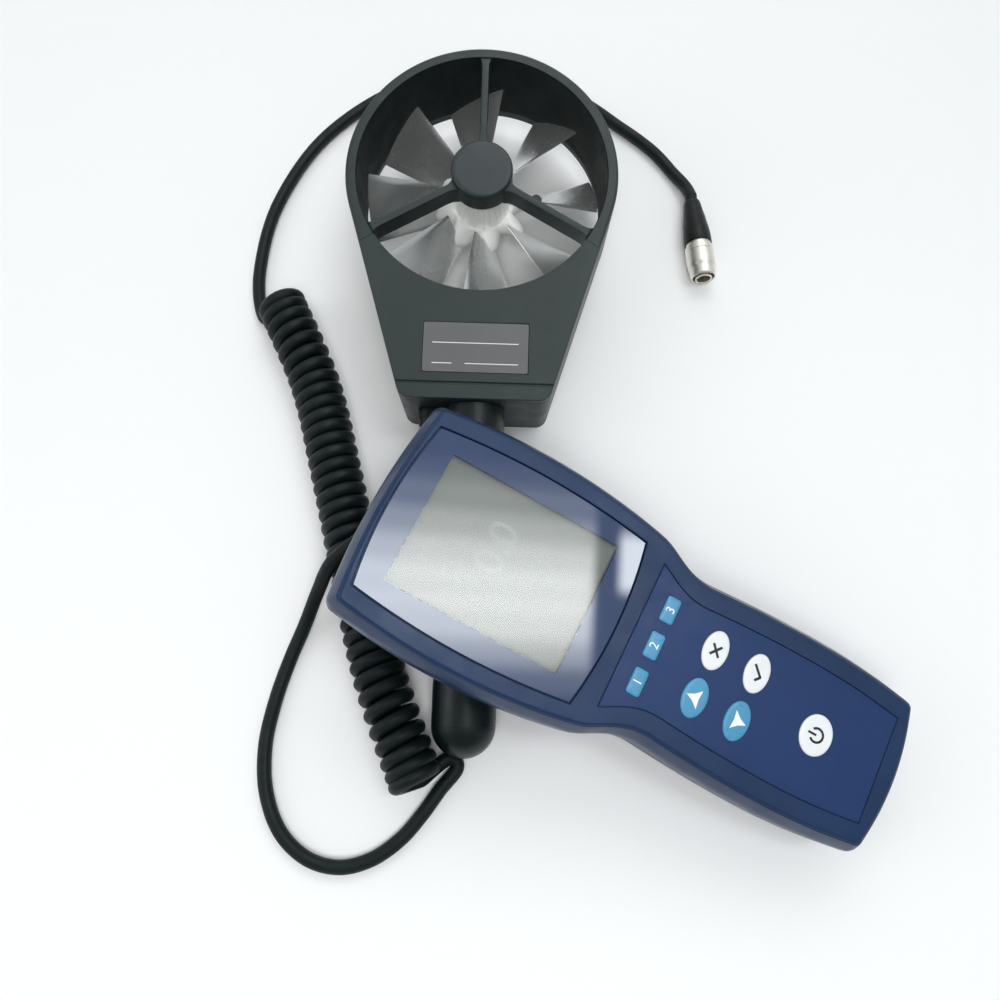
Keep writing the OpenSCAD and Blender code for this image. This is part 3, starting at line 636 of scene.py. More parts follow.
def rotor_hub():
    """The cast hub: a fluted boss, the disc round it, and behind them one lobe for each blade's root.

    The lobed levels give a radius and a height, and how far a lobe swells out and up there.
    """
    lobed = [
        (1.6, 0.0, 0, 0), (10.5, 0.0, 0, 0), (12.6, 0.4, 1.5, 0), (13.2, 1.4, 4.4, 0), (13.5, 2.8, 6.3, 0),
        (13.6, 4.4, 7.0, 0.2), (13.5, 5.8, 6.8, 0.5), (13.3, 6.9, 6.0, 0.9), (13.0, 7.7, 4.8, 1.4),
        (12.7, 8.3, 3.4, 1.8), (12.4, 8.7, 2.0, 1.9), (12.2, 8.9, 0.9, 1.4), (12.0, 9.0, 0.2, 0.5),
        (11.8, 9.1, 0, 0), (11.7, 8.7, 0, 0), (11.5, 8.7, 0, 0), (11.4, 9.1, 0, 0)]
    flutes = [(11.1, 9.3), (10.7, 10.2), (10.3, 11.4), (9.9, 13.0), (9.5, 14.8), (9.1, 16.4), (8.6, 17.6),
              (8.0, 18.2)]
    steps = 192
    draw = Draw(HEAD)
    rings = []
    for radius, w, lobe, rise in lobed:
        ring = []
        for i in range(steps):
            angle = 360 * i / steps
            phase = math.radians(BLADES * (angle - blade_angle(w / ROTOR_DEPTH)))
            swell = (0.5 + 0.5 * math.cos(phase)) ** 0.85
            r = radius + lobe * swell
            a = math.radians(angle)
            ring.append((r * math.cos(a), r * math.sin(a), ROTOR_Z + w + rise * swell))
        rings.append(ring)
    for radius, w in flutes:
        ring = []
        for i in range(steps):
            a = 2 * math.pi * i / steps
            r = radius + 0.7 * abs(math.cos(12 * a))
            ring.append((r * math.cos(a), r * math.sin(a), ROTOR_Z + w))
        rings.append(ring)
    rings += [circle(radius, ROTOR_Z + ROTOR_DEPTH, steps) for radius in (7.5, 1.6)]
    draw.loft(rings, loop=True)
    mark = Matrix.Rotation(math.radians(-88), 4, "Z") @ Matrix.Translation((11.25, 0, ROTOR_Z + 8.9))
    block = [(-0.25, -0.75), (0.25, -0.75), (0.25, 0.75), (-0.25, 0.75)]
    draw.loft([[mark @ Vector((x, y, h)) for x, y in block] for h in (0, 0.5)], tag=1)
    draw.make("rotor_casting", "rotor", [ROTOR_PLASTIC, DARK_INK], ["rotor_hub"], sharp=40)


def blade_section(r, chord=18):
    """A closed cut through a blade at a radius: a thin helical strip with rounded edges."""
    lead = math.atan2(2 * math.pi * r * SWEEP / 360, ROTOR_DEPTH)
    half = BLADE_T / 2
    section = []
    for face in (-1, 1):
        for k in range(chord + 1):
            s = k / chord if face < 0 else 1 - k / chord
            edge = min(s, 1 - s) * chord
            thick = half * (0.35 if edge < 0.5 else 1)
            turn = math.radians(SWEEP * (s - 0.5))
            across = face * thick
            section.append((r * math.sin(turn) + across * math.cos(lead), r * math.cos(turn),
                            BLADE_EDGE + s * (ROTOR_DEPTH - 2 * BLADE_EDGE) - across * math.sin(lead)))
    return section


blades = Draw(HEAD)
radii = [ROOT_R] + [ROOT_R + 0.3 + (TIP_R - 0.6 - ROOT_R) * k / 16 for k in range(17)] + [TIP_R]
for i in range(BLADES):
    turn = Matrix.Rotation(math.radians(REST + 360 * i / BLADES), 4, "Z")
    raised = turn @ Matrix.Translation((0, 0, ROTOR_Z))
    blades.loft([[raised @ Vector(p) for p in blade_section(r)] for r in radii])
blades.make("rotor_vanes", "rotor", [BLADE], ["rotor_blades"], sharp=50)
rotor_hub()

# ------------------------ handle

grip_low, grip_high = span("handle_grip", HEAD)
HANDLE_R = grip_high.x
NECK_H = (grip_low.z + grip_high.z) / 2
ALONG = Matrix.Translation((0, 0, NECK_H)) @ Matrix.Rotation(math.radians(90), 4, "X")

grip = Draw(HEAD)
grip_start, grip_end = -grip_high.y, -grip_low.y
grip.lathe([
    (9.1, grip_start + 24), (9.1, grip_end), (HANDLE_R - 0.06, grip_end), (HANDLE_R, grip_end - 0.06),
    (HANDLE_R, grip_start + 0.5), (HANDLE_R - 0.5, grip_start), (3.1, grip_start), (3.1, grip_start + 24)],
    128, at=ALONG)
grip.make("handle_tube", "probe", [HANDLE_PLASTIC], ["handle_grip"])

dome = Draw(HEAD)
dome_end = -span("handle_dome", HEAD)[0].y
DOME_STEPS = 18
dome_profile = [(8.9, grip_end - 7.8), (8.9, grip_end), (HANDLE_R - 0.06, grip_end),
                (HANDLE_R, grip_end + 0.06)]
for k in range(1, DOME_STEPS):
    a = math.pi / 2 * k / DOME_STEPS
    dome_profile.append((HANDLE_R * math.cos(a), grip_end + (dome_end - grip_end) * math.sin(a)))
dome.disc_lathe(dome_profile, 128, at=ALONG)
dome.make("handle_cap", "probe", [HANDLE_PLASTIC], ["handle_dome"])

boot_low, boot_high = span("cable_boot", HEAD)
boot_start = ((boot_low.x + boot_high.x) / 2, boot_high.y, (boot_low.z + boot_high.z) / 2)
BOOT_AT = Matrix.Translation(boot_start) @ Matrix.Rotation(math.radians(90), 4, "X")
BOOT_RIBS = 6
boot_len = boot_high.y - boot_low.y
boot_profile = [(2.8, 0), (5.0, 0), (5.3, 0.3), (5.3, 3.7), (5.0, 4.1)]
for k in range(BOOT_RIBS):
    z = 5 + k * (boot_len - 6.4) / BOOT_RIBS
    r = 4.9 - 1.25 * k / BOOT_RIBS
    boot_profile += [(r, z), (r, z + 1.5), (r - 0.45, z + 1.75), (r - 0.45, z + 2.3)]
boot_profile += [(3.6, boot_len - 0.8), (3.3, boot_len), (2.8, boot_len)]
boot = Draw(HEAD)
boot.lathe(boot_profile, 72, at=BOOT_AT)
boot.make("lead_boot", "probe", [BOOT_RUBBER], ["cable_boot"])

# ------------------------ lead

TABLE_Z = CAD_LOW.z / MM
WIRE_R = 2.75
WIRE_DRAWN_R = 2.7
COIL_R = 10.5
HELIX_R = COIL_R - WIRE_R
TURNS = 37
TURN_STEPS = 22
WIRE_SIDES = 18
GAP = 0.05
COIL_AXIS = ((-16.5, -237.3), (-32.3, -199.6), (-44, -160), (-55, -120), (-67, -81), (-85, -44))
BRIDGE = ((-22, -131.5, 22.5), (-31.5, -141.5, 25), (-43, -151, 25.2), (-52.3, -159.2, 21.8),
          (-58.2, -168.3, 12.2), (-63.5, -180.3, 5))
LOWER_LEAD = ((-68.6, -194), (-72.7, -209.8), (-74.8, -226), (-73, -242), (-66.6, -256), (-56.2, -265),
              (-44, -268), (-32, -265), (-21.6, -257.6), (-14, -248.6), (-8, -240), (-2, -232),
              (-5.4, -228.6))
UPPER_LEAD = ((-94, -46.5), (-98, -24), (-93, 11), (-74, 48), (-40, 76), (0, 85), (38, 74), (62, 57),
              (76.5, 44.8), (85.5, 33.5))
ROW = Matrix.Scale(MM, 4)


def in_row(matrix, point):
    """A point in a place's frame, in millimetres in the row frame."""
    return matrix @ Vector(point) / MM


def coil_point(axis, share):
    """The point at a share of the coil's axis."""
    x = share * (len(axis) - 1)
    i = min(int(x), len(axis) - 2)
    return axis[i] + (axis[i + 1] - axis[i]) * (x - i)


def coiled_lead():
    """The lead: from the head over the coil and round into it, through its turns, and on to the plug."""
    coil_z = TABLE_Z + COIL_R + GAP
    lead_z = TABLE_Z + WIRE_R + GAP
    axis = smooth_path([Vector((x, y, coil_z)) for x, y in COIL_AXIS], 40)

    def left(share):
        way = (coil_point(axis, min(share + 0.01, 1)) - coil_point(axis, max(share - 0.01, 0))).normalized()
        return Vector((-way.y, way.x, 0))

    coil = []
    steps = TURNS * TURN_STEPS
    for i in range(steps + 1):
        share = i / steps
        turn = 2 * math.pi * i / TURN_STEPS
        out = math.sin(turn) * left(share) - math.cos(turn) * Vector((0, 0, 1))
        coil.append((coil_point(axis, share) + HELIX_R * out, out))
    down = Vector((0, 0, -1))
    out_of_head = (-6, boot_len - 8, boot_len, boot_len + 4)
    lower = [in_row(HEAD @ BOOT_AT, (0, 0, along)) for along in out_of_head]
    lower += [Vector((x, y, TABLE_Z + height)) for x, y, height in BRIDGE]
    lower += [Vector((x, y, lead_z)) for x, y in LOWER_LEAD] + [coil[0][0] - 1.5 * left(0)]
    upper = [coil[-1][0] + 1.5 * left(1)] + [Vector((x, y, lead_z)) for x, y in UPPER_LEAD]
    upper += [Vector((90.9, 25.2, lead_z + 1.6))]
    upper += [in_row(PLUG, (0, 0, along)) for along in (-3.5, -0.5, 20)]
    runs = [[(Vector((p.x, p.y, max(p.z, lead_z))), down) for p in path]
            for path in (smooth_path(lower, 10), smooth_path(upper, 12))]
    stations = runs[0] + coil[1:-1] + runs[1]
    rings = []
    for i, (point, out) in enumerate(stations):
        ahead, behind = stations[min(i + 1, len(stations) - 1)][0], stations[max(i - 1, 0)][0]
        way = (ahead - behind).normalized()
        up = (out - out.dot(way) * way).normalized()
        side = way.cross(up)
        ring = []
        for k in range(WIRE_SIDES):
            a = 2 * math.pi * k / WIRE_SIDES
            ring.append(point + WIRE_DRAWN_R * (math.cos(a) * up + math.sin(a) * side))
        rings.append(ring)
    draw = Draw(ROW)
    draw.loft(rings)
    draw.make("coiled_lead", "probe", [LEAD_RUBBER], ["coiled_cable"], sharp=60)


coiled_lead()

# ------------------------ plug


def wrinkles(a, z):
    """Heat-shrink sleeving: gathered a little along its length."""
    share = min(max((z - 1) / 16, 0), 1)
    return 0.10 * share * (1 - share) * 4 * (math.sin(5 * a + z) + 0.6 * math.sin(9 * a - 0.7 * z))


plug_boot = Draw(PLUG)
plug_boot.lathe([
    (2.8, 0), (3.35, 0), (3.6, 0.5), (3.9, 2), (4.3, 5), (4.75, 8), (5.2, 11), (5.6, 14), (5.9, 17),
    (6.0, 19.5), (6.0, 21.6), (5.85, 22), (5.6, 22), (5.6, 18.9), (5.25, 18.9), (5.25, 12), (2.8, 12)],
    wave=wrinkles)
plug_boot.make("plug_sleeving", "probe", [BOOT_RUBBER], ["plug_boot"])

sleeve = Draw(PLUG)
sleeve.lathe([
    (4.65, 20.5), (5.5, 20.5), (5.5, 23.6), (5.95, 23.6), (6.2, 23.9), (6.2, 26.0), (6.05, 26.2),
    (6.05, 26.9), (6.2, 27.1), (6.2, 32.6), (6.1, 33.0), (5.75, 34.0), (5.6, 34.4), (5.6, 37.6),
    (5.45, 38.1), (5.1, 38.5), (4.9, 38.5), (4.65, 38.2)])
sleeve.make("plug_barrel", "plug_ring", [NICKEL], ["plug_sleeve"])
refined("plug_body", "plug_core", "probe", NICKEL, 0.12, steps=2)

# ------------------------ display unit: outlines

front_low, front_high = span("case_front", UNIT)
TOP_REACH = -front_low.x
LOW_REACH = front_high.x
PARTING_Z = front_low.z
SCREEN_HALF = 43.3
KEYS_HALF = 32.5
TOP_X = -48.8
LOW_X = 158
TOP_BOW = 2.6
LOW_BOW = 3.0
CASE_CORNER = 4.0
INNER_CORNER = 1.6


def half_width(x):
    """Half width of the case: a wide arc at the screen, easing through the waist to the key end."""
    screen = SCREEN_HALF - (x + 2) ** 2 / 470
    far = x - 112
    keys = KEYS_HALF - far * far / (1000 if far < 0 else 470)
    return screen + (keys - screen) * ease((x - 46) / 26)


def top_end(y):
    return TOP_BOW * (y / SCREEN_HALF) ** 2 + TOP_X


def low_end(y):
    return LOW_X - LOW_BOW * (y / KEYS_HALF) ** 2


def case_outline(inset, corner=CASE_CORNER, sides=110, ends=24, steps=8):
    """Points round the case, drawn in by inset, anticlockwise from the top end's -y corner."""
    x0 = top_end(SCREEN_HALF) + inset + corner
    x1 = low_end(KEYS_HALF) - inset - corner
    y0 = half_width(x0) - inset - corner
    y1 = half_width(x1) - inset - corner
    along = [x0 + (x1 - x0) * k / sides for k in range(sides + 1)]
    across = [2 * k / ends - 1 for k in range(ends + 1)]
    loop = [(x, inset - half_width(x)) for x in along]
    loop += arc((x1, -y1), corner, -90, 0, steps)[1:-1]
    for s in across:
        x = low_end(y1 * s) + (x1 + corner - low_end(y1)) * s * s - inset * (1 - s * s)
        loop.append((x, y1 * s))
    loop += arc((x1, y1), corner, 0, 90, steps)[1:-1]
    loop += [(x, half_width(x) - inset) for x in reversed(along)]
    loop += arc((x0, y0), corner, 90, 180, steps)[1:-1]
    for s in across:
        x = top_end(y0 * s) + (x0 - corner - top_end(y0)) * s * s + inset * (1 - s * s)
        loop.append((x, -y0 * s))
    loop += arc((x0, -y0), corner, 180, 270, steps)[1:-1]
    return loop


def lens_outline(grow, steps=16):
    """The lens: a rectangle with every side bowed a little outward."""
    x, y, bow = 40.4 + grow, 30.4 + grow, 3.0
    loop = []
    for k in range(-steps, steps):
        loop.append((x + bow * (1 - (k / steps) ** 2), y * k / steps))
    for k in range(steps, -steps, -1):
        loop.append((x * k / steps, y + bow * (1 - (k / steps) ** 2)))
    for k in range(steps, -steps, -1):
        loop.append((-x - bow * (1 - (k / steps) ** 2), y * k / steps))
    for k in range(-steps, steps):
        loop.append((x * k / steps, -y - bow * (1 - (k / steps) ** 2)))
    return loop


OVERLAY_X0, OVERLAY_X1, OVERLAY_INSET = 49.5, 148.0, 10.4


def overlay_outline(grow, steps=48):
    """The keypad's film: straight ends, and sides that follow the case."""
    x0, x1 = OVERLAY_X0 - grow, OVERLAY_X1 + grow
    along = [x0 + (x1 - x0) * k / steps for k in range(steps + 1)]
    bottom = [(x, OVERLAY_INSET - grow - half_width(x)) for x in along]
    top = [(x, half_width(x) - OVERLAY_INSET + grow) for x in reversed(along)]
    return bottom + top


def oval(centre, size, grow=0.0, steps=56):
    loop = []
    for k in range(steps):
        a = 2 * math.pi * k / steps
        x, y = (size[0] + grow) * math.cos(a), (size[1] + grow) * math.sin(a)
        loop.append((centre[0] + x, centre[1] + y))
    return loop


SOFT_SIZE = (2.6, 4.7)
ROUND_SIZE = (4.6, 7.1)
POWER_SIZE = (6.1, 7.3)
KEYS = {
    "one": ((58.0, -13.5), SOFT_SIZE), "two": ((58.0, 0.0), SOFT_SIZE), "three": ((58.0, 13.5), SOFT_SIZE),
    "escape": ((78.2, 8.9), ROUND_SIZE), "enter": ((94.8, 8.9), ROUND_SIZE),
    "left": ((78.2, -8.9), ROUND_SIZE), "right": ((94.8, -8.9), ROUND_SIZE),
    "power": ((122.5, 0.0), POWER_SIZE)}


def key_outline(name, grow=0.0):
    centre, size = KEYS[name]
    if size is SOFT_SIZE:
        x, y = size[0] + grow, size[1] + grow
        return rounded_box(centre[0] - x, centre[1] - y, centre[0] + x, centre[1] + y, 1.0)
    return oval(centre, size, grow)


# ------------------------ display unit: case

LENS_T = 1.6
OVERLAY_T = 0.6
CEILING_Z = -3.0
KEY_GAP = 0.15
HOLE_EDGE = 0.2
WELL_DEPTH = 2.5


def case_front():
    draw = Draw(UNIT)
    skin = [(-15.0, 0.3), (-14.75, 0.0), (-11, 0.0), (-9, 0.08), (-7.4, 0.32), (-5.9, 0.75), (-4.5, 1.35),
            (-3.2, 1.85), (-2.1, 2.35), (-1.25, 2.75), (-0.95, 2.92), (-1.15, 3.02), (-1.15, 3.20),
            (-0.70, 3.28), (-0.42, 3.5), (-0.16, 3.85), (-0.03, 4.15), (0.0, 4.4)]
    levels = [(case_outline(inset, CASE_CORNER - 0.5 * inset), z) for z, inset in skin]
    draw.wall(*levels)
    lens_hole, lens_lip = lens_outline(0.35), lens_outline(0.35 + HOLE_EDGE)
    film_hole, film_lip = overlay_outline(0.22), overlay_outline(0.22 + HOLE_EDGE)
    window = rounded_box(-34.3, -26.3, 34.3, 26.3, 1.0)
    holes = [key_outline(name, KEY_GAP) for name in KEYS]
    draw.plate([levels[-1][0], lens_lip, film_lip], 0)
    draw.wall((lens_lip, 0), (lens_hole, -HOLE_EDGE), (lens_hole, -LENS_T))
    draw.wall((film_lip, 0), (film_hole, -HOLE_EDGE), (film_hole, -OVERLAY_T))
    draw.plate([lens_hole, window], -LENS_T)
    draw.plate([film_hole] + holes, -OVERLAY_T)
    draw.wall((window, -LENS_T), (window, CEILING_Z))
    for hole in holes:
        draw.wall((hole, -OVERLAY_T), (hole, CEILING_Z))
    inside = [(-15.0, 2.5), (-9.0, 2.5), (CEILING_Z, 9.0)]
    draw.wall(*[(case_outline(inset, INNER_CORNER), z) for z, inset in inside])
    draw.plate([case_outline(9.0, INNER_CORNER), window] + holes, CEILING_Z)
    rim_out, rim_in = case_outline(0.3, CASE_CORNER - 0.15), case_outline(2.5, INNER_CORNER)
    draw.wall((rim_out, PARTING_Z), (rim_in, PARTING_Z))
    draw.make("case_top_shell", "display_unit", [CASE_PLASTIC], ["case_front"], sharp=38)


def case_back():
    draw = Draw(UNIT)
    back_z = -CASE_T
    skin = [(-15.0, 0.3), (-15.25, 0.0), (-19, 0.05), (-22.5, 0.4), (-25.5, 1.1), (-28, 2.0), (-30, 3.0),
            (-31.4, 4.0), (-32.3, 4.9), (-32.8, 5.7), (-33.0, 6.6)]
    draw.wall(*[(case_outline(inset, CASE_CORNER), z) for z, inset in skin])
    door_low, door_high = span("battery_door", UNIT)
    recess_z = back_z + 1.8
    inside_z = back_z + WELL_DEPTH
    recess = rounded_box(door_low.x - 0.3, door_low.y - 0.25, LOW_REACH - 11, door_high.y + 0.25, 1.2)
    bay = rounded_box(door_low.x + 4, door_low.y + 3, door_low.x + 58, door_high.y - 3, 0.8)
    wells = [oval(at, (2.9, 2.9), steps=32) for at in ((-36, 31), (-36, -31), (56, 25), (56, -25))]
    draw.plate([case_outline(6.6, CASE_CORNER), recess] + wells, back_z)
    draw.wall((recess, back_z), (recess, recess_z))
    draw.plate([recess, bay], recess_z)
    draw.wall((bay, recess_z), (bay, inside_z))
    for well in wells:
        draw.wall((well, back_z), (well, inside_z))
    inside = [(-15.0, 2.5), (-24.0, 3.5), (inside_z, 8.0)]
    draw.wall(*[(case_outline(inset, INNER_CORNER), z) for z, inset in inside])
    draw.plate([case_outline(8.0, INNER_CORNER), bay] + wells, inside_z)
    rim_out, rim_in = case_outline(0.3, CASE_CORNER), case_outline(2.5, INNER_CORNER)
    draw.wall((rim_out, PARTING_Z), (rim_in, PARTING_Z))
    opening = Draw(UNIT)
    sideways = Matrix.Translation((-TOP_REACH - 3, 0, SOCKET_Z)) @ Matrix.Rotation(math.radians(90), 4, "Y")
    opening.disc_lathe([(6.6, 0), (6.6, 12)], 64, at=sideways)
    draw.make("case_bottom_shell", "display_unit", [CASE_PLASTIC], ["case_back"], sharp=38,
              drill=opening)


case_front()
case_back()
refined("battery_door", "battery_hatch", "door", DOOR_PLASTIC, 0.35, steps=2)

# ------------------------ display unit: lens and display

LCD_HALF = (32.3, 24.3)
lens = Draw(UNIT)
lens_edge = lens_outline(-0.1)
lens_face = lens_outline(-0.35)
lcd_window = rounded_box(-LCD_HALF[0], -LCD_HALF[1], LCD_HALF[0], LCD_HALF[1], 0.5)
lens.plate([lens_face, lcd_window], 0)
lens.plate([lcd_window], 0, tag=1)
lens.plate([lens_edge, lcd_window], -LENS_T)
lens.plate([lcd_window], -LENS_T, tag=2)
lens.wall((lens_face, 0), (lens_edge, -0.25), (lens_edge, -LENS_T))
lens_finishes = [LENS_BORDER, LENS_WINDOW, LENS_INSIDE]
lens.make("lens_panel", "display_unit", lens_finishes, ["display_lens"], sharp=30)

module_low, module_high = span("display_module", UNIT)
module = Draw(UNIT)
panel = rounded_box(module_low.x, module_low.y, module_high.x, module_high.y, 0.6)
module.prism(panel, module_low.z, module_high.z, 0.15)
module.make("display_panel", "display_unit", [DISPLAY], ["display_module"])


NUMERAL_T = 0.05


def lettering(name, words, size, body, material, at, z):
    """Numerals lying on the face, read with the top end of the case upward."""
    curve = bpy.data.curves.new(name, "FONT")
    curve.body = words
    curve.size = size
    curve.align_x = "CENTER"
    curve.align_y = "CENTER"
    curve.extrude = NUMERAL_T / 2
    curve.resolution_u = 6
    holder = bpy.data.objects.new(name + "_curve", curve)
    bpy.context.scene.collection.objects.link(holder)
    bpy.context.view_layer.update()
    mesh = bpy.data.meshes.new_from_object(holder)
    bpy.data.objects.remove(holder)
    read = Matrix(((0, -1, 0, at[0]), (1, 0, 0, at[1]), (0, 0, 1, z), (0, 0, 0, 1)))
    mesh.transform(UNIT @ read)
    mesh.materials.clear()
    finish_piece(name, mesh, body, [material])


digits_z = module_high.z + 0.03
lettering("display_digits", "0.0", 15, "display_unit", GHOST, (-4, 4), digits_z)
lettering("display_small_digits", "0 0 0", 4.2, "display_unit", GHOST, (-25, -8), digits_z)

# ------------------------ display unit: keypad

pad = Draw(UNIT)
pad_edge, pad_face = overlay_outline(-0.05), overlay_outline(-0.2)
pad_holes = [key_outline(name, 0.1) for name in KEYS]
pad.plate([pad_face] + pad_holes, 0)
pad.plate([pad_edge] + pad_holes, -OVERLAY_T)
pad.wall((pad_face, 0), (pad_edge, -0.15), (pad_edge, -OVERLAY_T))
for hole in pad_holes:
    pad.wall((hole, 0), (hole, -OVERLAY_T))
pad.make("keypad_film", "display_unit", [OVERLAY], ["keypad_overlay"])

KEY_TOP = 0.5
INK = 0.04


def key_cap(name, material):
    """A cap with a soft crown and rounded edge, over the foot that holds it in the case."""
    node = "key_" + name
    foot = span(node, UNIT)[0].z
    draw = Draw(UNIT)
    levels = [(foot, 0.9), (foot + 1, 0.9), (foot + 1, 0.0), (0.05, 0.0), (0.2, -0.06), (0.32, -0.2),
              (0.42, -0.45), (0.48, -0.85), (KEY_TOP, -1.4)]
    draw.wall(*[(key_outline(name, grow), z) for z, grow in levels], capped=True)
    draw.make("cap_" + name, "button_" + name, [material], [node])


def key_mark(name, loops, material):
    """A printed mark on a key's crown."""
    draw = Draw(UNIT)
    centre = KEYS[name][0]
    for loop in loops:
        points = [(centre[0] - p[1], centre[1] + p[0]) for p in loop]
        draw.prism(points, KEY_TOP - 0.05, KEY_TOP + INK)
    draw.make("mark_" + name, "button_" + name, [material])


def bar(x0, y0, x1, y1, width):
    """A straight stroke; x to the right and y upward as the key is read."""
    way = Vector((x1 - x0, y1 - y0)).normalized() * width / 2
    side = Vector((-way.y, way.x))
    return [(x0 - side.x, y0 - side.y), (x1 - side.x, y1 - side.y), (x1 + side.x, y1 + side.y),
            (x0 + side.x, y0 + side.y)]


def ring_stroke(radius, width, start, end, steps=28):
    """Short blocks that together make an arc."""
    inner, outer = radius - width / 2, radius + width / 2
    blocks = []
    for k in range(steps):
        a0 = start + (end - start) * k / steps
        a1 = start + (end - start) * (k + 1) / steps
        blocks.append(arc((0, 0), inner, a0, a1, 1) + arc((0, 0), outer, a1, a0, 1))
    return blocks


ARROW = [(0, 3.3), (-1.3, 0.62), (-3.3, -1.65), (0, -1.3), (3.3, -1.65), (1.3, 0.62)]

for key_name in ("one", "two", "three", "left", "right"):
    key_cap(key_name, BLUE_KEY)
for key_name in ("escape", "enter", "power"):
    key_cap(key_name, WHITE_KEY)
for key_name, numeral in (("one", "1"), ("two", "2"), ("three", "3")):
    lettering("mark_" + key_name, numeral, 4.6, "button_" + key_name, WHITE_INK, KEYS[key_name][0],
              KEY_TOP)
key_mark("left", [ARROW], WHITE_INK)
key_mark("right", [[(-x, -y) for x, y in ARROW]], WHITE_INK)
key_mark("escape", [bar(-2.0, -1.7, 2.0, 1.7, 0.9), bar(-2.0, 1.7, 2.0, -1.7, 0.9)], DARK_INK)
key_mark("enter", [bar(-2.6, 0.2, -0.7, -1.6, 0.9), bar(-1.0, -1.6, 2.7, 1.9, 0.9)], DARK_INK)
key_mark("power", ring_stroke(2.4, 0.85, 130, 410) + [bar(0, 0.1, 0, 3.3, 0.8)], DARK_INK)

# ------------------------ pieces that keep their CAD shape

CARRIED = {
    "shaft_bearings": STEEL, "bearing_spacer": STEEL, "pickup_sensor": SENSOR_PLASTIC,
    "sensor_board": BOARD, "head_screws": STEEL, "handle_bolt": STEEL, "plug_insert": SENSOR_PLASTIC,
    "plug_pins": GOLD, "rotor_shaft": STEEL, "shaft_collar": STEEL, "shaft_clip": STEEL,
    "dome_sheet": FOIL, "main_board": BOARD, "battery_cells": CELL, "battery_contacts": NICKEL,
    "case_screws": STEEL, "probe_socket": NICKEL, "socket_insert": SENSOR_PLASTIC, "socket_nut": NICKEL}
for node_name, node_material in CARRIED.items():
    node_object = frame["nodes"][node_name]
    for material_slot in node_object.material_slots:
        material_slot.link = "OBJECT"
        material_slot.material = node_material

# ------------------------ stage, light and camera

floor_mesh = bpy.data.meshes.new("floor")
FLOOR_HALF = 2.5
corners = [(x * FLOOR_HALF, y * FLOOR_HALF, CAD_LOW.z) for x, y in ((-1, -1), (1, -1), (1, 1), (-1, 1))]
floor_mesh.from_pydata(corners, [], [(0, 1, 2, 3)])
floor = bpy.data.objects.new("floor", floor_mesh)
bpy.context.scene.collection.objects.link(floor)
paper = Nodes("paper")
paper_tone = paper.between(paper.noise(3.0, 2), 0, 1, 0.3, 0.7)
paper_color = paper.mix(paper_tone, (0.885, 0.885, 0.885, 1), (0.91, 0.905, 0.90, 1))
paper.put(Base_Color=paper_color, Roughness=0.55, Specular_IOR_Level=0.25)
floor_mesh.materials.append(paper.material)

bpy.context.scene.view_settings.view_transform = "Standard"

world = bpy.data.worlds.new("studio")
bpy.context.scene.world = world
world.use_nodes = True
AMBIENT = 0.48
TILT = 0.45


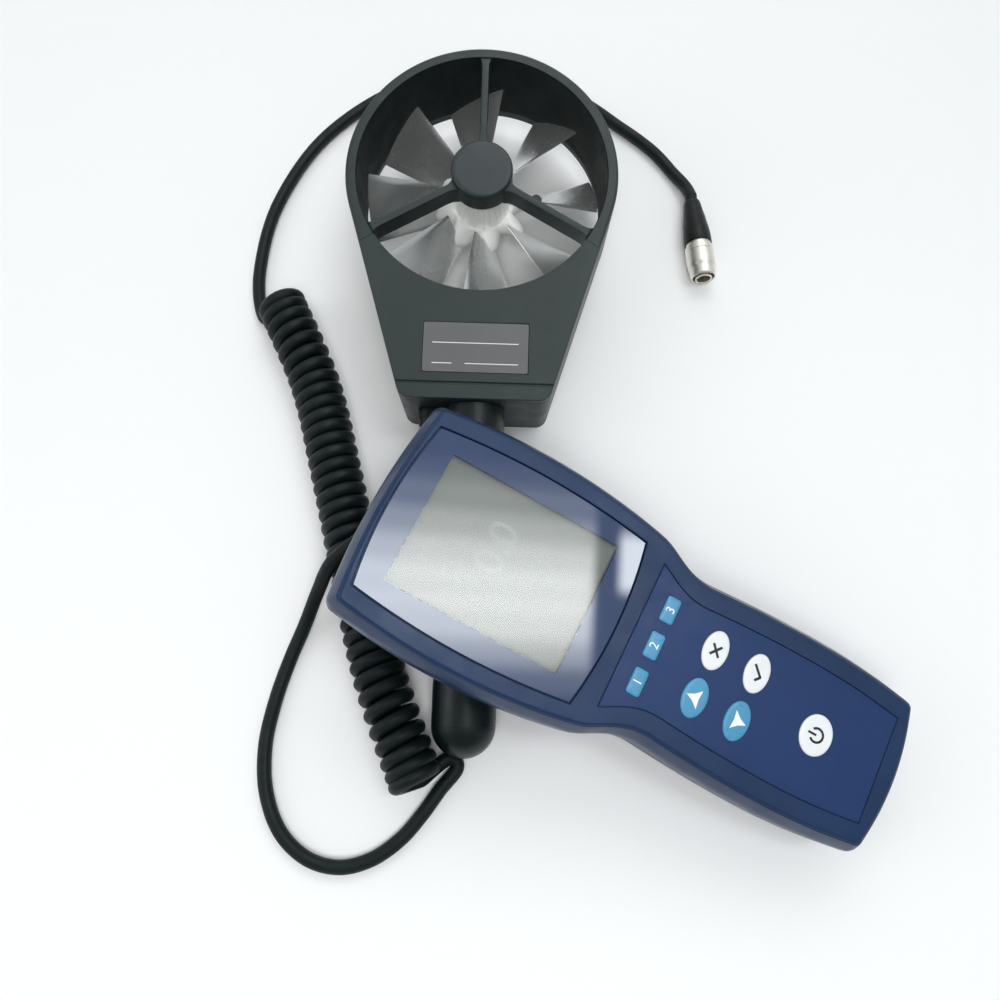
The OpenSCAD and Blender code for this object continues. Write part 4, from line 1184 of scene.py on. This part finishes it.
def sky():
    """A pale room, lighter towards +Y, and two soft-edged bright panels above that the lens mirrors."""
    tree = world.node_tree

    def maths(operation, a, b=0.0):
        node = tree.nodes.new("ShaderNodeMath")
        node.operation = operation
        for socket, value in zip(node.inputs, (a, b)):
            if hasattr(value, "is_linked"):
                tree.links.new(value, socket)
            else:
                socket.default_value = value
        return node.outputs[0]

    def step(value, start, end):
        node = tree.nodes.new("ShaderNodeMapRange")
        node.interpolation_type = "SMOOTHSTEP"
        tree.links.new(value, node.inputs["Value"])
        node.inputs["From Min"].default_value = start
        node.inputs["From Max"].default_value = end
        return node.outputs["Result"]

    way = tree.nodes.new("ShaderNodeSeparateXYZ")
    tree.links.new(tree.nodes.new("ShaderNodeTexCoord").outputs["Generated"], way.inputs[0])
    up = maths("MAXIMUM", way.outputs["Z"], 0.001)
    u = maths("DIVIDE", way.outputs["X"], up)
    v = maths("DIVIDE", way.outputs["Y"], up)
    across = maths("MULTIPLY", step(u, 0.0, 0.20), step(u, 0.505, 0.485))
    core = maths("MULTIPLY", step(v, -0.085, 0.0), step(v, 0.13, 0.025))
    streaks = maths("MULTIPLY", maths("SINE", maths("MULTIPLY", v, 190.0)), 0.05)
    height = maths("ADD", maths("MULTIPLY", maths("ADD", core, streaks), 0.76), 0.24)
    reach = maths("MULTIPLY", step(v, -0.12, -0.04), step(v, 0.19, 0.10))
    wide = maths("MULTIPLY", maths("MULTIPLY", across, height), reach)
    far = maths("MULTIPLY", step(u, 0.52, 0.54), step(u, 0.66, 0.62))
    narrow = maths("MULTIPLY", maths("MULTIPLY", far, step(v, 0.02, 0.045)), step(v, 0.12, 0.09))
    panels = maths("ADD", maths("MULTIPLY", wide, 10.0), maths("MULTIPLY", narrow, 12.0))
    background = tree.nodes["Background"]
    background.inputs["Color"].default_value = (0.93, 0.98, 1.0, 1)
    room = maths("MULTIPLY", maths("ADD", maths("MULTIPLY", way.outputs["Y"], TILT), 1.0), AMBIENT)
    tree.links.new(maths("ADD", panels, room), background.inputs["Strength"])


sky()


def softbox(name, at, aim, size, power, mirrored=True):
    """A rectangular studio light at a place, turned to face a point; metres and watts."""
    light = bpy.data.lights.new(name, "AREA")
    light.shape = "RECTANGLE"
    light.size, light.size_y = size
    light.energy = power
    lamp = bpy.data.objects.new(name, light)
    bpy.context.scene.collection.objects.link(lamp)
    lamp.location = at
    lamp.visible_glossy = mirrored
    lamp.rotation_euler = (Vector(aim) - Vector(at)).to_track_quat("-Z", "Y").to_euler()


centre = (CAD_LOW + CAD_HIGH) / 2
softbox("main_softbox", (0.25, 0.95, 1.4), centre, (1.2, 0.8), 6)
softbox("left_softbox", (-1.3, -0.3, 0.9), centre, (0.9, 0.9), 3)
softbox("front_softbox", (0.02, -0.45, 0.75), (0.0, -0.02, 0.02), (0.3, 0.3), 2.4, mirrored=False)

camera_data = bpy.data.cameras.new("camera")
camera_data.lens = 32.4
camera_data.sensor_width = 36
camera = bpy.data.objects.new("camera", camera_data)
bpy.context.scene.collection.objects.link(camera)
CAMERA_TILT = math.radians(16.55)
CAMERA_ROLL = math.radians(1.72)
camera.matrix_world = (Matrix.Translation((0.0111, -0.2314, 0.3456))
                       @ Matrix.Rotation(CAMERA_TILT, 4, "X") @ Matrix.Rotation(CAMERA_ROLL, 4, "Z"))
bpy.context.scene.camera = camera
